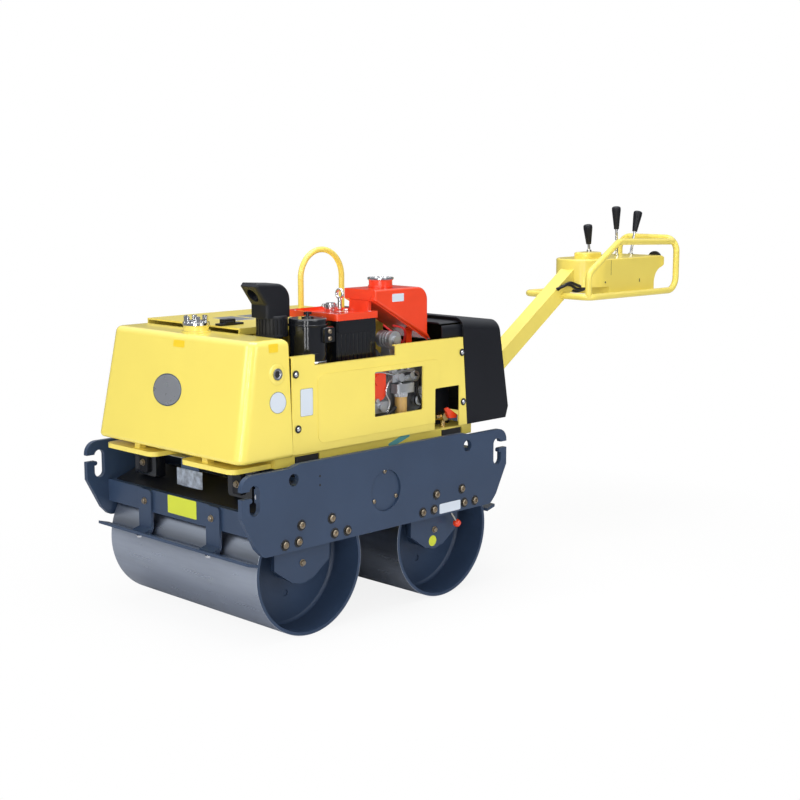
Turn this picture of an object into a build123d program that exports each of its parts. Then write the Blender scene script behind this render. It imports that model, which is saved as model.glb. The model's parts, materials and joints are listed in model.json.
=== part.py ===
from build123d import *
import os
from math import cos, radians, sin, sqrt

# Walk-behind double-drum vibratory roller with its engine hood taken off.
# Millimetres. +X is forward, where the water tank is, +Y is the machine's left, +Z is up.
# Sizes are worked out from the middle of the wheelbase on the ground, and save() moves each
# finished piece so that the origin lies under the middle of the machine's outline.

# Drums
drum_width = 700.0
drum_radius = 200.0
drum_skin = 10.0
drum_recess = 112.0
dish_thickness = 12.0
wheelbase = 554.0
bore_clearance = 0.3
plug_drop = 100.0
plug_radius = 10.0
running_gap = 6.0

# Lower frame: two hook-ended side plates tied by an apron at each end
plate_thickness = 16.0
plate_gap = 13.0
plate_half_length = 548.0
plate_bottom = 268.0
plate_top = 505.0
plate_crown = 514.0
plate_crown_half = 340.0
plate_shoulder = 378.0
plate_end_bottom = 388.0
plate_end_radius = 38.0
hook_slot_width = 36.0
hook_slot_height = 86.0
hook_mouth = 20.0
hook_end_wall = 27.0
hook_nose_radius = 7.0
hook_nose_reach = 3.0
lashing_radius = 18.0
lashing_reach = 361.0
lashing_height = 471.0
cover_radius = 62.0
cover_height = 385.0
cover_thickness = 10.0
apron_face = 473.0
apron_thickness = 10.0
apron_bottom = 313.0
apron_top = 381.0
apron_flange = 72.0

# Scrapers
scraper_thickness = 8.0
scraper_gap = 6.0
scraper_side_gap = 3.0
scraper_bottom = 238.0
blade_depth = 36.0
blade_thickness = 9.0
blade_rise = 10.0
arm_width = 62.0
arm_spacing = 326.0
arm_foot = 262.0
arm_bend = 270.0
arm_corner = 12.0

# Drum brackets inside the recesses
bracket_setback = 34.0
bracket_thickness = 16.0
bracket_half_width = 106.0
bracket_foot_half = 38.0
bracket_foot_drop = 48.0
bracket_shoulder_half = 140.0
bracket_height = 152.0
boss_radius = 15.0
axle_radius = 30.0
hub_radius = 55.0
hub_lip = 14.0
hub_depth = 30.0

# Exciter
exciter_radius = 52.0
exciter_flange_radius = 82.0
exciter_flange_thickness = 14.0

# Rubber mounts and the yellow upper frame
mount_length = 86.0
mount_width = 44.0
mount_height = 59.0
mount_reach = 304.0
mount_stations = (260.0, -348.0)
rail_outer = 322.0
rail_width = 40.0
rail_notch = 25.0
rail_bottom = 496.0
rail_top = 526.0
rail_front = 380.0
rail_rear = -440.0
ear_front = 520.0
ear_inner = 63.0
ear_outer = 305.0
ear_thickness = 14.0
post_side = 24.0
post_x = 491.0
post_y = 162.0

# Body shell
tank_rear = 331.0
tank_front_bottom = 526.0
tank_front_top = 464.0
tank_half_bottom = 343.0
tank_half_top = 327.0
tank_top = 860.0
tank_corner = 32.0
tank_edge = 20.0
tank_sole = 12.0
shell_seam = 1.0
panel_half = 338.0
panel_thickness = 4.0
panel_front = 328.0
panel_rear_top = -381.0
panel_rear_bottom = -403.0
panel_bottom = 530.0
panel_top = 809.0
panel_low_top = 778.0
panel_flange = 14.0
panel_corner = 8.0
panel_notch_front = 242.0
panel_notch_rear = -82.0
window_front = 6.0
window_rear = -200.0
window_bottom = 601.0
window_top = 735.0
drain_window_front = -254.0
drain_window_rear = -366.0
drain_window_top = 659.0
field_front = 232.0
field_rear = -276.0
field_bottom = 552.0
field_top = 750.0
field_corner = 24.0
field_rise = 1.5
deck_top = 872.0
deck_thickness = 5.0
deck_edge = 110.0
deck_lip = 14.0
deck_rear = -290.0
cover_rear_top = -552.0
cover_rear_bottom = -602.0
cover_top_front = 869.0
cover_top_rear = 851.0
cover_bottom = 530.0
cover_half = 338.0
cover_wall = 5.0
cover_edge = 34.0
lip_top = 858.0
lip_half = 326.0
lip_length = 82.0
lip_overlap = 14.0

# Water filler and drain port
filler_x = 408.0
filler_y = 12.0
filler_radius = 37.0
filler_height = 22.0
filler_cap_height = 26.0

# Engine
engine_front = 100.0
engine_rear = -300.0
engine_left = 280.0
engine_right = -40.0
engine_bottom = 560.0
engine_top = 742.0
sump_top = 604.0
sump_inset = 20.0
rib_thickness = 6.0
crank_x = -150.0
crank_z = 640.0
shaft_radius = 26.0
flywheel_radius = 150.0
flywheel_width = 48.0
flywheel_y = -120.0
bearer_height = 34.0
bearer_width = 40.0
head_front = 240.0
head_left = 276.0
head_right = 120.0
head_bottom = 596.0
valve_cover_front = 302.0
valve_cover_top = 700.0
gear_cover_rear = -79.0
gear_cover_bottom = 640.0
gear_cover_depth = 20.0
pump_front = -108.0
pump_rear = -204.0
pump_bottom = 688.0
pump_top = 722.0
filter_x = -141.0
filter_y = 301.0
filter_head_front = -116.0
filter_head_rear = -190.0
filter_head_bottom = 654.0
filter_head_top = 683.0
filter_ring_radius = 26.0
filter_ring_height = 10.0
bowl_radius = 19.0
bowl_bottom = 590.0
pulley_x = -228.0
pulley_z = 622.0
pulley_radius = 18.0
oil_pump_x = -62.0
oil_pump_z = 618.0
radiator_front = 106.0
radiator_rear = -54.0
radiator_left = 286.0
radiator_right = 114.0
radiator_rib = 4.0
radiator_ribs = 10
radiator_band = 36.0
lid_bottom = 890.0
lid_thickness = 20.0
lid_recess = 8.0
lid_rim = 8.0
lid_corner = 12.0
lid_overhang = 6.0
lid_right = 62.0
radiator_cap_radius = 26.0
radiator_cap_x = 30.0
radiator_cap_y = 175.0
eyebolt_x = 36.0
eyebolt_y = 222.0
eyebolt_height = 60.0
eye_radius = 13.0
eye_bar = 4.5
fuel_front = -46.0
fuel_front_bottom = 940.0
fuel_rear = -272.0
fuel_tip = -289.0
fuel_rear_bottom = 828.0
fuel_tip_bottom = 806.0
fuel_left = 290.0
fuel_right = 156.0
fuel_top = 971.0
fuel_corner = 42.0
fuel_edge = 6.0
fuel_flange = 5.0
fuel_flange_set = 14.0
fuel_neck_radius = 36.0
fuel_neck_top = 993.0
fuel_cap_radius = 40.0
fuel_cap_height = 9.0
fuel_cap_x = -136.0
fuel_cap_y = 220.0
strut_front = -222.0
strut_rear = -246.0
strut_y = 246.0
alternator_x = -118.0
alternator_z = 818.0
alternator_radius = 26.0
alternator_front = 300.0
alternator_length = 58.0
cleaner_x = 187.0
cleaner_y = 248.0
cleaner_radius = 55.0
cleaner_seam = 884.0
cleaner_top = 903.0
precleaner_x = 270.0
precleaner_y = 187.0
precleaner_radius = 46.0
precleaner_pipe = 28.0
precleaner_bottom = 852.0
precleaner_top = 913.0
precleaner_slots = 26
snorkel_front = 320.0
snorkel_rear = 229.0
snorkel_tip = 359.0
snorkel_top = 1009.0
snorkel_half = 37.0
hood_edge = 10.0
valve_x = -330.0
valve_y = 300.0
valve_z = 560.0

# Lifting hoop
hoop_tube = 18.0
hoop_x = -93.0
hoop_y = 0.0
hoop_half_span = 86.0
hoop_top = 1089.0
beam_front = 175.0
beam_rear = -345.0
beam_top = 846.0
beam_height = 50.0
beam_width = 40.0

# Handle: a square mast that tilts on a pin, with a tube ring round the control console
mast_pivot_x = -650.0
mast_pivot_z = 466.0
mast_angle = 33.9
mast_side = 60.0
mast_length = 885.0
pin_radius = 12.0
cheek_thickness = 10.0
cheek_gap = 2.0
ring_tube = 24.0
ring_front = -1272.0
ring_rear = -1845.0
ring_half_front = 149.0
ring_half_rear = 136.0
ring_low = 867.0
ring_high = 1065.0
ring_corner = 52.0
ring_front_corner = 30.0
guard_foot = -1281.0
guard_knee = 953.0
guard_top_front = -1462.0
console_half = 105.0
console_front = -1330.0
console_rear = -1743.0
console_nose = -1808.0
console_bottom = 862.0
console_top = 998.0
console_crease = 935.0
console_foot_half = 84.0
dome_bottom = 895.0
dome_x = console_front - console_half
lid_height = 22.0
console_lid_x = -1457.0
console_lid_length = 108.0
console_lid_width = 76.0
button_y = 55.0
button_z = 982.0
button_radius = 30.0
lever_rod = 5.0
lever_collar = 9.0
lever_collar_height = 8.0
knob_neck = 9.5
knob_top = 17.0
# Each lever: foot x and its seat's height above the console's top, neck x and z, top x and z
levers_set = (
    (-1464.0, lid_height, -1461.0, 1050.0, -1453.0, 1117.0),
    (-1640.0, 0.0, -1635.0, 1101.0, -1629.0, 1181.0),
    (-1732.0, 0.0, -1755.0, 1089.0, -1768.0, 1163.0),
)

# Brake lever under the left plate
brake_root_x = -297.0
brake_root_z = 288.0
brake_knob_x = -346.0
brake_knob_z = 221.0
brake_offset = 14.0
brake_rod = 4.0
brake_ball = 13.0
brake_boss = 9.0

plate_outer = drum_width / 2 + plate_gap + plate_thickness
plate_inner = plate_outer - plate_thickness
axle_x = wheelbase / 2
bracket_face = drum_width / 2 - bracket_setback
mount_bottom = rail_bottom + rail_notch - mount_height
lid_floor = lid_bottom + lid_thickness - lid_recess
origin_x = (plate_half_length + ring_rear - ring_tube / 2) / 2

os.makedirs("parts", exist_ok=True)


def save(piece, name):
    """Labels a finished piece, moves it to the stored origin and writes its file."""
    placed = piece.moved(Location((-origin_x, 0, 0)))
    placed.label = name
    export_step(placed, f"parts/{name}.step")


def wall_plane(y):
    """A vertical sketch plane at y whose local x is forward and local y is up; it extrudes to -Y."""
    return Plane(origin=(0, y, 0), x_dir=(1, 0, 0), z_dir=(0, -1, 0))


def side_plate(side, name):
    """One lower side plate: hooked ends, lashing holes and the hole for the exciter's cover."""
    top_y = plate_outer if side > 0 else -plate_inner
    with BuildPart() as plate:
        with BuildSketch(wall_plane(top_y)):
            with BuildLine():
                Polyline(
                    (0, plate_bottom),
                    (472, plate_bottom),
                    (499, 296),
                    (plate_half_length, plate_end_bottom),
                    (plate_half_length, plate_top),
                    (plate_shoulder, plate_top),
                    (plate_crown_half, plate_crown),
                    (0, plate_crown),
                    close=True,
                )
            make_face()
            mirror(about=Plane.YZ)
            ends = [v for v in vertices() if abs(v.X) > plate_half_length - 1 and v.Y > plate_end_bottom + 1]
            fillet(ends, plate_end_radius)
            feet = [v for v in vertices() if v.Y < plate_bottom + 1 and abs(v.X) > 400]
            fillet(feet, 24)
            slot_x = plate_half_length - hook_end_wall - hook_slot_width / 2
            slot_z = plate_end_bottom + 3 + hook_slot_height / 2
            mouth_z = slot_z + 19
            for end in (1, -1):
                with Locations((end * slot_x, slot_z)):
                    SlotOverall(hook_slot_height, hook_slot_width, rotation=90, mode=Mode.SUBTRACT)
                with Locations((end * (slot_x + plate_half_length + 5) / 2, mouth_z)):
                    Rectangle(plate_half_length + 5 - slot_x, hook_mouth, mode=Mode.SUBTRACT)
                nose_x = plate_half_length - hook_end_wall - hook_nose_reach
                with Locations((end * nose_x, mouth_z - hook_mouth / 2 - hook_nose_radius)):
                    Circle(hook_nose_radius)
                with Locations((end * lashing_reach, lashing_height)):
                    Circle(lashing_radius, mode=Mode.SUBTRACT)
            with Locations((0, cover_height)):
                Circle(cover_radius + bore_clearance, mode=Mode.SUBTRACT)
        extrude(amount=plate_thickness)
    save(plate.part, name)


def drum(end, name):
    """A steel drum: rolled shell with dished ends set back, a bearing hub and a plug hole in each."""
    dish = drum_width / 2 - drum_recess
    inner = drum_radius - drum_skin
    with BuildPart() as roll:
        with BuildSketch(Plane(origin=(end * axle_x, 0, drum_radius), x_dir=(0, 1, 0), z_dir=(-1, 0, 0))):
            with BuildLine():
                Polyline(
                    (0, inner),
                    (0, drum_radius),
                    (drum_width / 2, drum_radius),
                    (drum_width / 2, inner),
                    (dish, inner),
                    (dish, hub_radius),
                    (dish + hub_lip, hub_radius - 4),
                    (dish + hub_lip, axle_radius + bore_clearance),
                    (dish - dish_thickness - hub_depth, axle_radius + bore_clearance),
                    (dish - dish_thickness - hub_depth, hub_radius),
                    (dish - dish_thickness, hub_radius),
                    (dish - dish_thickness, inner),
                    close=True,
                )
            make_face()
            mirror(about=Plane.YZ)
        revolve(axis=Axis((end * axle_x, 0, drum_radius), (0, 1, 0)))
        for side in (1, -1):
            with Locations(Location((end * axle_x, side * dish, drum_radius - plug_drop), (90, 0, 0))):
                Cylinder(plug_radius, 8, mode=Mode.SUBTRACT)
    save(roll.part, name)


def drum_bracket(end, side, name):
    """The bracket in a drum's recess: plate, six bosses bolted to the side plate, and the stub axle."""
    face = side * bracket_face
    plane = Plane(origin=(end * axle_x, face, drum_radius), x_dir=(1, 0, 0), z_dir=(0, -side, 0))
    outward = Plane(origin=(end * axle_x, face, drum_radius), x_dir=(1, 0, 0), z_dir=(0, side, 0))
    up = 1 if side > 0 else -1
    with BuildPart() as bracket:
        with BuildSketch(plane):
            with BuildLine():
                Polyline(
                    (-bracket_foot_half, -up * bracket_foot_drop),
                    (bracket_foot_half, -up * bracket_foot_drop),
                    (bracket_half_width, 0),
                    (bracket_half_width, up * 64),
                    (bracket_shoulder_half, up * 76),
                    (bracket_shoulder_half, up * 108),
                    (76, up * bracket_height),
                    (-76, up * bracket_height),
                    (-bracket_shoulder_half, up * 108),
                    (-bracket_shoulder_half, up * 76),
                    (-bracket_half_width, up * 64),
                    (-bracket_half_width, 0),
                    close=True,
                )
            make_face()
        extrude(amount=bracket_thickness)
        with BuildSketch(outward):
            with Locations(
                *[(x, -up * z) for x, z in ((-119, 91), (119, 91), (-69, 92), (69, 92), (-58, 138), (58, 138))]
            ):
                Circle(boss_radius)
        extrude(amount=plate_inner - bracket_face)
        with BuildSketch(plane):
            Circle(hub_radius)
        extrude(amount=bracket_face - (drum_width / 2 - drum_recess + hub_lip + running_gap))
        with BuildSketch(plane):
            Circle(axle_radius)
        extrude(amount=bracket_face - (drum_width / 2 - drum_recess - dish_thickness - hub_depth))
    save(bracket.part, name)


def apron(end, name):
    """The angle-iron beam across one end of the lower frame."""
    with BuildPart() as beam:
        with BuildSketch(wall_plane(plate_inner)):
            with BuildLine():
                Polyline(
                    (end * apron_face, apron_bottom),
                    (end * apron_face, apron_top),
                    (end * (apron_face - apron_flange), apron_top),
                    (end * (apron_face - apron_flange), apron_top - apron_thickness),
                    (end * (apron_face - apron_thickness), apron_top - apron_thickness),
                    (end * (apron_face - apron_thickness), apron_bottom),
                    close=True,
                )
            make_face()
        extrude(amount=2 * plate_inner)
    save(beam.part, name)


def scraper(end, name):
    """A scraper: a sloping blade along the drum, carried by two arms that hang on the apron."""
    rise = scraper_bottom - drum_radius
    near = axle_x + sqrt(drum_radius**2 - rise**2) + scraper_gap
    far = near + blade_depth
    half = plate_inner - scraper_side_gap
    with BuildPart() as blade:
        with BuildSketch(wall_plane(half)):
            with BuildLine():
                Polyline(
                    (end * near, scraper_bottom),
                    (end * far, scraper_bottom + blade_rise),
                    (end * far, scraper_bottom + blade_rise + blade_thickness),
                    (end * near, scraper_bottom + blade_thickness),
                    close=True,
                )
            make_face()
        extrude(amount=2 * half)
        for y in (-arm_spacing / 2, arm_spacing / 2):
            with BuildSketch(Plane(origin=(end * apron_face, y, 0), x_dir=(0, 1, 0), z_dir=(1, 0, 0))):
                with Locations((0, (arm_foot + apron_top) / 2)):
                    Rectangle(arm_width, apron_top - arm_foot)
                fillet(vertices().group_by(Axis.Y)[-1], arm_corner)
            extrude(amount=end * scraper_thickness)
            with BuildSketch(wall_plane(y + arm_width / 2)):
                with BuildLine():
                    Polyline(
                        (end * apron_face, arm_foot),
                        (end * apron_face, arm_bend),
                        (end * (apron_face + scraper_thickness), arm_bend),
                        (end * (apron_face + scraper_thickness), arm_foot + 2),
                        (end * (far - blade_thickness), scraper_bottom + blade_rise + blade_thickness),
                        (end * (far - blade_thickness), scraper_bottom + blade_rise),
                        (end * (near + 5), scraper_bottom + 7),
                        close=True,
                    )
                make_face()
            extrude(amount=arm_width)
    save(blade.part, name)


side_plate(1, "side_plate_left")
side_plate(-1, "side_plate_right")
drum(1, "front_drum")
drum(-1, "rear_drum")
for end, end_word in ((1, "front"), (-1, "rear")):
    apron(end, f"{end_word}_apron")
    scraper(end, f"{end_word}_scraper")
    for side, side_word in ((1, "left"), (-1, "right")):
        drum_bracket(end, side, f"{end_word}_bracket_{side_word}")

# Exciter housing: a flanged tube from plate to plate, and the round covers outside it
with BuildPart() as exciter:
    with BuildSketch(wall_plane(plate_inner)):
        with Locations((0, cover_height)):
            Circle(exciter_flange_radius)
    extrude(amount=exciter_flange_thickness)
    with BuildSketch(wall_plane(plate_inner)):
        with Locations((0, cover_height)):
            Circle(exciter_radius)
    extrude(amount=2 * plate_inner)
    with BuildSketch(wall_plane(exciter_flange_thickness - plate_inner)):
        with Locations((0, cover_height)):
            Circle(exciter_flange_radius)
    extrude(amount=exciter_flange_thickness)
save(exciter.part, "exciter_housing")

with BuildPart() as round_covers:
    for y in (plate_inner + cover_thickness, -plate_inner):
        with BuildSketch(wall_plane(y)):
            with Locations((0, cover_height)):
                Circle(cover_radius)
        extrude(amount=cover_thickness)
save(round_covers.part, "round_covers")

# Rubber mounts on shelves of the side plates, let into the upper frame's rails
with BuildPart() as mounts:
    with BuildSketch(Plane.XY.offset(mount_bottom)):
        with Locations(*[(x, side * mount_reach) for x in mount_stations for side in (1, -1)]):
            RectangleRounded(mount_length, mount_width, 8)
    extrude(amount=mount_height)
save(mounts.part, "rubber_mounts")

shelf_thickness = 10
with BuildPart() as shelves:
    for x in mount_stations:
        for side in (1, -1):
            width = plate_inner - mount_reach + mount_width / 2
            with Locations((x, side * (plate_inner - width / 2), mount_bottom - shelf_thickness / 2)):
                Box(mount_length + 20, width, shelf_thickness)
save(shelves.part, "mount_shelves")

# Upper frame: two rails, cross members, engine bearers, front ears and tank posts
with BuildPart() as upper_frame:
    rail_mid = (rail_front + rail_rear) / 2
    for side in (1, -1):
        with Locations((rail_mid, side * (rail_outer - rail_width / 2), (rail_bottom + rail_top) / 2)):
            Box(rail_front - rail_rear, rail_width, rail_top - rail_bottom)
        for x in mount_stations:
            with Locations((x, side * (rail_outer - rail_width / 2), rail_bottom + rail_notch / 2)):
                Box(mount_length + 8, rail_width + 10, rail_notch, mode=Mode.SUBTRACT)
    for x in (rail_front - 30, 155, -325, rail_rear + 25):
        with Locations((x, 0, (rail_bottom + rail_top) / 2)):
            Box(50, 2 * (rail_outer - rail_width), rail_top - rail_bottom)
    for side in (1, -1):
        with BuildSketch(Plane.XY.offset(rail_bottom)):
            with Locations(((ear_front + rail_front) / 2 - 10, side * (ear_outer + ear_inner) / 2)):
                Rectangle(ear_front - rail_front + 20, ear_outer - ear_inner)
            fillet(vertices().group_by(Axis.X)[-1], 26)
        extrude(amount=ear_thickness)
        with Locations((post_x, side * post_y, (rail_bottom + ear_thickness + rail_top) / 2)):
            Box(post_side, post_side, rail_top - rail_bottom - ear_thickness)
    for y in (engine_left - 50, engine_right + 100):
        with Locations(((engine_front + engine_rear) / 2, y, rail_top + bearer_height / 2)):
            Box(engine_front - engine_rear + 140, bearer_width, bearer_height)
save(upper_frame.part, "upper_frame")

# Water tank: moulded, tapering up, leaning back at the front
with BuildPart() as water_tank:
    for z, front, half in (
        (rail_top, tank_front_bottom, tank_half_bottom),
        (tank_top, tank_front_top, tank_half_top),
    ):
        with BuildSketch(Plane.XY.offset(z)):
            with Locations(((front + tank_rear) / 2, 0)):
                Rectangle(front - tank_rear, 2 * half)
    loft()
    front_corners = [
        e for e in water_tank.edges()
        if e.center().X > tank_rear + 60 and rail_top + 40 < e.center().Z < tank_top - 40
    ]
    fillet(front_corners, tank_corner)
    fillet(water_tank.faces().sort_by(Axis.Z)[-1].edges(), tank_edge)
    sole = [e for e in water_tank.faces().sort_by(Axis.Z)[0].edges() if e.center().X > tank_rear + 1]
    fillet(sole, tank_sole)
    with Locations((filler_x, filler_y, tank_top + filler_height / 2)):
        Cylinder(filler_radius, filler_height)
    with Locations((filler_x, filler_y, tank_top + 3)):
        Cylinder(filler_radius + 5, 6)
save(water_tank.part, "water_tank")

# Its screw cap: a dished plate with six upright lugs
lug_count = 6
lug_width = 15
lug_depth = 9
with BuildPart() as tank_cap:
    cap_floor = tank_top + filler_height
    with Locations((filler_x, filler_y, cap_floor + 4)):
        Cylinder(filler_radius + 2, 8)
    with BuildSketch(Plane.XY.offset(cap_floor + 8)):
        with Locations((filler_x, filler_y)):
            with PolarLocations(filler_radius - lug_depth / 2 - 1, lug_count):
                RectangleRounded(lug_depth, lug_width, 3)
    extrude(amount=filler_cap_height - 8)
    with BuildSketch(Plane.XY.offset(cap_floor + 8)):
        with Locations((filler_x, filler_y)):
            Circle(filler_radius - lug_depth - 3)
    extrude(amount=5)
save(tank_cap.part, "tank_cap")

# Lock of the tank's side port, set square to the leaning wall
port_x = 377.0
port_z = 765.0
port_radius = 16.0
tank_slope = (tank_half_bottom - tank_half_top) / (tank_top - rail_top)
port_y = tank_half_bottom - tank_slope * (port_z - rail_top)
with BuildPart() as tank_port:
    with BuildSketch(Plane(origin=(port_x, port_y, port_z), z_dir=(0, 1, tank_slope))):
        Circle(port_radius)
    extrude(amount=5)
    with BuildSketch(Plane(origin=(port_x, port_y + 5, port_z + 5 * tank_slope), z_dir=(0, 1, tank_slope))):
        Circle(port_radius - 5)
    extrude(amount=-3, mode=Mode.SUBTRACT)
save(tank_port.part, "tank_port")

# Side panels: the left one notched over the engine and with two windows
field_x = (field_front + field_rear) / 2
field_z = (field_bottom + field_top) / 2
with BuildPart() as panel_left:
    with BuildSketch(wall_plane(panel_half)):
        with BuildLine():
            Polyline(
                (panel_front, panel_bottom),
                (panel_front, panel_top),
                (panel_notch_front, panel_top),
                (panel_notch_front, panel_low_top),
                (panel_notch_rear, panel_low_top),
                (panel_notch_rear, panel_top),
                (panel_rear_top, panel_top),
                (panel_rear_bottom, panel_bottom),
                close=True,
            )
        make_face()
    extrude(amount=panel_thickness)
    with BuildSketch(wall_plane(panel_half + field_rise)):
        with Locations((field_x, field_z)):
            RectangleRounded(field_front - field_rear, field_top - field_bottom, field_corner)
    extrude(amount=field_rise + 1)
    for front, rear, top in (
        (panel_front, panel_notch_front, panel_top),
        (panel_notch_front, panel_notch_rear, panel_low_top),
        (panel_notch_rear, panel_rear_top, panel_top),
    ):
        with Locations(((front + rear) / 2, panel_half - panel_flange / 2, top - panel_thickness / 2)):
            Box(front - rear, panel_flange, panel_thickness)
    with BuildSketch(wall_plane(panel_half + field_rise)):
        with Locations(((window_front + window_rear) / 2, (window_bottom + window_top) / 2)):
            RectangleRounded(window_front - window_rear, window_top - window_bottom, panel_corner / 2)
        with Locations(
            ((drain_window_front + drain_window_rear) / 2, (panel_bottom - panel_corner + drain_window_top) / 2)
        ):
            RectangleRounded(
                drain_window_front - drain_window_rear,
                drain_window_top - panel_bottom + panel_corner,
                panel_corner / 2,
            )
    extrude(amount=field_rise + panel_thickness, mode=Mode.SUBTRACT)
save(panel_left.part, "side_panel_left")

with BuildPart() as panel_right:
    with BuildSketch(wall_plane(panel_thickness - panel_half)):
        with BuildLine():
            Polyline(
                (panel_front, panel_bottom),
                (panel_front, deck_top - deck_thickness),
                (deck_rear, deck_top - deck_thickness),
                (deck_rear, panel_top),
                (panel_rear_top, panel_top),
                (panel_rear_bottom, panel_bottom),
                close=True,
            )
        make_face()
    extrude(amount=panel_thickness)
    with BuildSketch(wall_plane(1 - panel_half)):
        with Locations((field_x, field_z)):
            RectangleRounded(field_front - field_rear, field_top - field_bottom, field_corner)
    extrude(amount=field_rise + 1)
save(panel_right.part, "side_panel_right")

# Right-hand deck, with its edge turned down along the engine bay
with BuildPart() as deck:
    with BuildSketch(Plane.XY.offset(deck_top - deck_thickness)):
        with Locations(((panel_front + deck_rear) / 2, (deck_edge - panel_half) / 2)):
            Rectangle(panel_front - deck_rear, deck_edge + panel_half)
        with Locations((hoop_x - hoop_half_span, hoop_y), (hoop_x + hoop_half_span, hoop_y)):
            Circle(hoop_tube / 2 + bore_clearance, mode=Mode.SUBTRACT)
    extrude(amount=deck_thickness)
    with Locations(((panel_front + deck_rear) / 2, deck_edge - 2, deck_top - deck_thickness - deck_lip / 2)):
        Box(panel_front - deck_rear, 4, deck_lip)
save(deck.part, "side_deck")

# Moulded latch that held the hood, on the deck
latch_x = 282.0
latch_y = 8.0
with BuildPart() as deck_latch:
    for length, width, low, high in ((88, 30, 0, 6), (46, 24, 6, 18), (30, 34, 6, 12)):
        with BuildSketch(Plane.XY.offset(deck_top + low)):
            with Locations((latch_x + (88 - length) / 6, latch_y)):
                RectangleRounded(length, width, 5)
        extrude(amount=high - low)
save(deck_latch.part, "deck_latch")

# Rear cover: a black moulded hood end, open to the front and below, with a set-in lip
def cover_form(inset):
    """The rear cover's outer form, or its hollow when inset by the wall."""
    with BuildPart() as form:
        with BuildSketch(wall_plane(cover_half - inset)):
            with BuildLine():
                Polyline(
                    (panel_rear_bottom - shell_seam, cover_bottom - inset),
                    (panel_rear_top - shell_seam, cover_top_front - inset),
                    (cover_rear_top + inset, cover_top_rear - inset),
                    (cover_rear_bottom + inset, cover_bottom + 36),
                    (cover_rear_bottom + 12 + inset, cover_bottom - inset),
                    close=True,
                )
            make_face()
        extrude(amount=2 * (cover_half - inset))
        top_edges = [e for e in form.edges() if e.center().Z > cover_top_rear - inset - 4]
        side_edges = [e for e in top_edges if abs(e.center().Y) > cover_half - inset - 1]
        fillet(side_edges, cover_edge - inset)
    return form.part


lip_root = panel_rear_top - lip_overlap
with BuildPart() as joggle:
    with BuildSketch(Plane(origin=(lip_root, 0, 0), x_dir=(0, 1, 0), z_dir=(1, 0, 0))):
        with Locations((0, (panel_top + cover_top_front) / 2 + 1)):
            Rectangle(2 * cover_half, cover_top_front - panel_top - 2)
        with Locations((0, (panel_top + lip_top) / 2 + 1 - cover_wall)):
            Rectangle(2 * (lip_half - cover_wall), lip_top - panel_top - 2, mode=Mode.SUBTRACT)
    extrude(amount=cover_wall)
    add(cover_form(1), mode=Mode.INTERSECT)

with BuildPart() as rear_cover:
    add(cover_form(0))
    add(cover_form(cover_wall), mode=Mode.SUBTRACT)
    add(joggle.part)
    with BuildSketch(Plane(origin=(lip_root, 0, 0), x_dir=(0, 1, 0), z_dir=(1, 0, 0))):
        with Locations((0, (panel_top + lip_top) / 2 + 1)):
            Rectangle(2 * lip_half, lip_top - panel_top - 2)
        fillet(vertices().group_by(Axis.Y)[-1], 24)
        with Locations((0, (panel_top + lip_top) / 2 + 1 - cover_wall)):
            Rectangle(2 * (lip_half - cover_wall), lip_top - panel_top - 2, mode=Mode.SUBTRACT)
    extrude(amount=lip_length + lip_overlap)
save(rear_cover.part, "rear_cover")

# Engine block: a narrower sump under the crankcase, and upright ribs on its left face
engine_mid_x = (engine_front + engine_rear) / 2
engine_mid_y = (engine_left + engine_right) / 2
with BuildPart() as engine:
    with Locations((engine_mid_x, engine_mid_y, (sump_top + engine_top) / 2)):
        Box(engine_front - engine_rear, engine_left - engine_right, engine_top - sump_top)
    with Locations((engine_mid_x, engine_mid_y, (engine_bottom + sump_top) / 2)):
        Box(
            engine_front - engine_rear - 2 * sump_inset,
            engine_left - engine_right - 2 * sump_inset,
            sump_top - engine_bottom,
        )
    for x in (engine_rear + 10, engine_rear + 34, engine_front - 8):
        with Locations((x, engine_left + rib_thickness / 2, (sump_top + engine_top) / 2)):
            Box(rib_thickness, rib_thickness, engine_top - sump_top - 12)
save(engine.part, "engine_block")

# Cylinder head at the front, and the valve cover before it
with BuildPart() as engine_head:
    with Locations(
        ((engine_front + head_front) / 2, (head_left + head_right) / 2, (head_bottom + engine_top) / 2)
    ):
        Box(head_front - engine_front, head_left - head_right, engine_top - head_bottom)
    for z in (head_bottom + 30, head_bottom + 66, head_bottom + 102):
        with Locations(((engine_front + head_front) / 2, head_left + 3, z)):
            Box(head_front - engine_front - 30, 6, 10)
save(engine_head.part, "engine_head")

with BuildPart() as valve_cover:
    with Locations(
        (
            (head_front + valve_cover_front) / 2,
            (head_left + head_right) / 2 - 6,
            (head_bottom + 10 + valve_cover_top) / 2,
        )
    ):
        Box(valve_cover_front - head_front, head_left - head_right - 40, valve_cover_top - head_bottom - 10)
    fillet(valve_cover.edges().filter_by(Axis.X), 14)
    fillet(valve_cover.faces().sort_by(Axis.X)[-1].edges(), 8)
    with Locations((precleaner_x, precleaner_y, valve_cover_top - 4)):
        Cylinder(precleaner_pipe - 2, 8)
save(valve_cover.part, "valve_cover")

# Gear case cover, injection pump and oil pump on the left face
with BuildPart() as gear_cover:
    with BuildSketch(wall_plane(engine_left + gear_cover_depth)):
        with Locations(
            ((gear_cover_rear + engine_front - 14) / 2, (gear_cover_bottom + engine_top - 2) / 2)
        ):
            RectangleRounded(
                engine_front - 14 - gear_cover_rear, engine_top - 2 - gear_cover_bottom, field_corner
            )
    extrude(amount=gear_cover_depth)
    with BuildSketch(wall_plane(engine_left + gear_cover_depth + 6)):
        with Locations((20, 692), (-46, 704)):
            Circle(18)
    extrude(amount=6)
save(gear_cover.part, "gear_cover")

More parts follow.
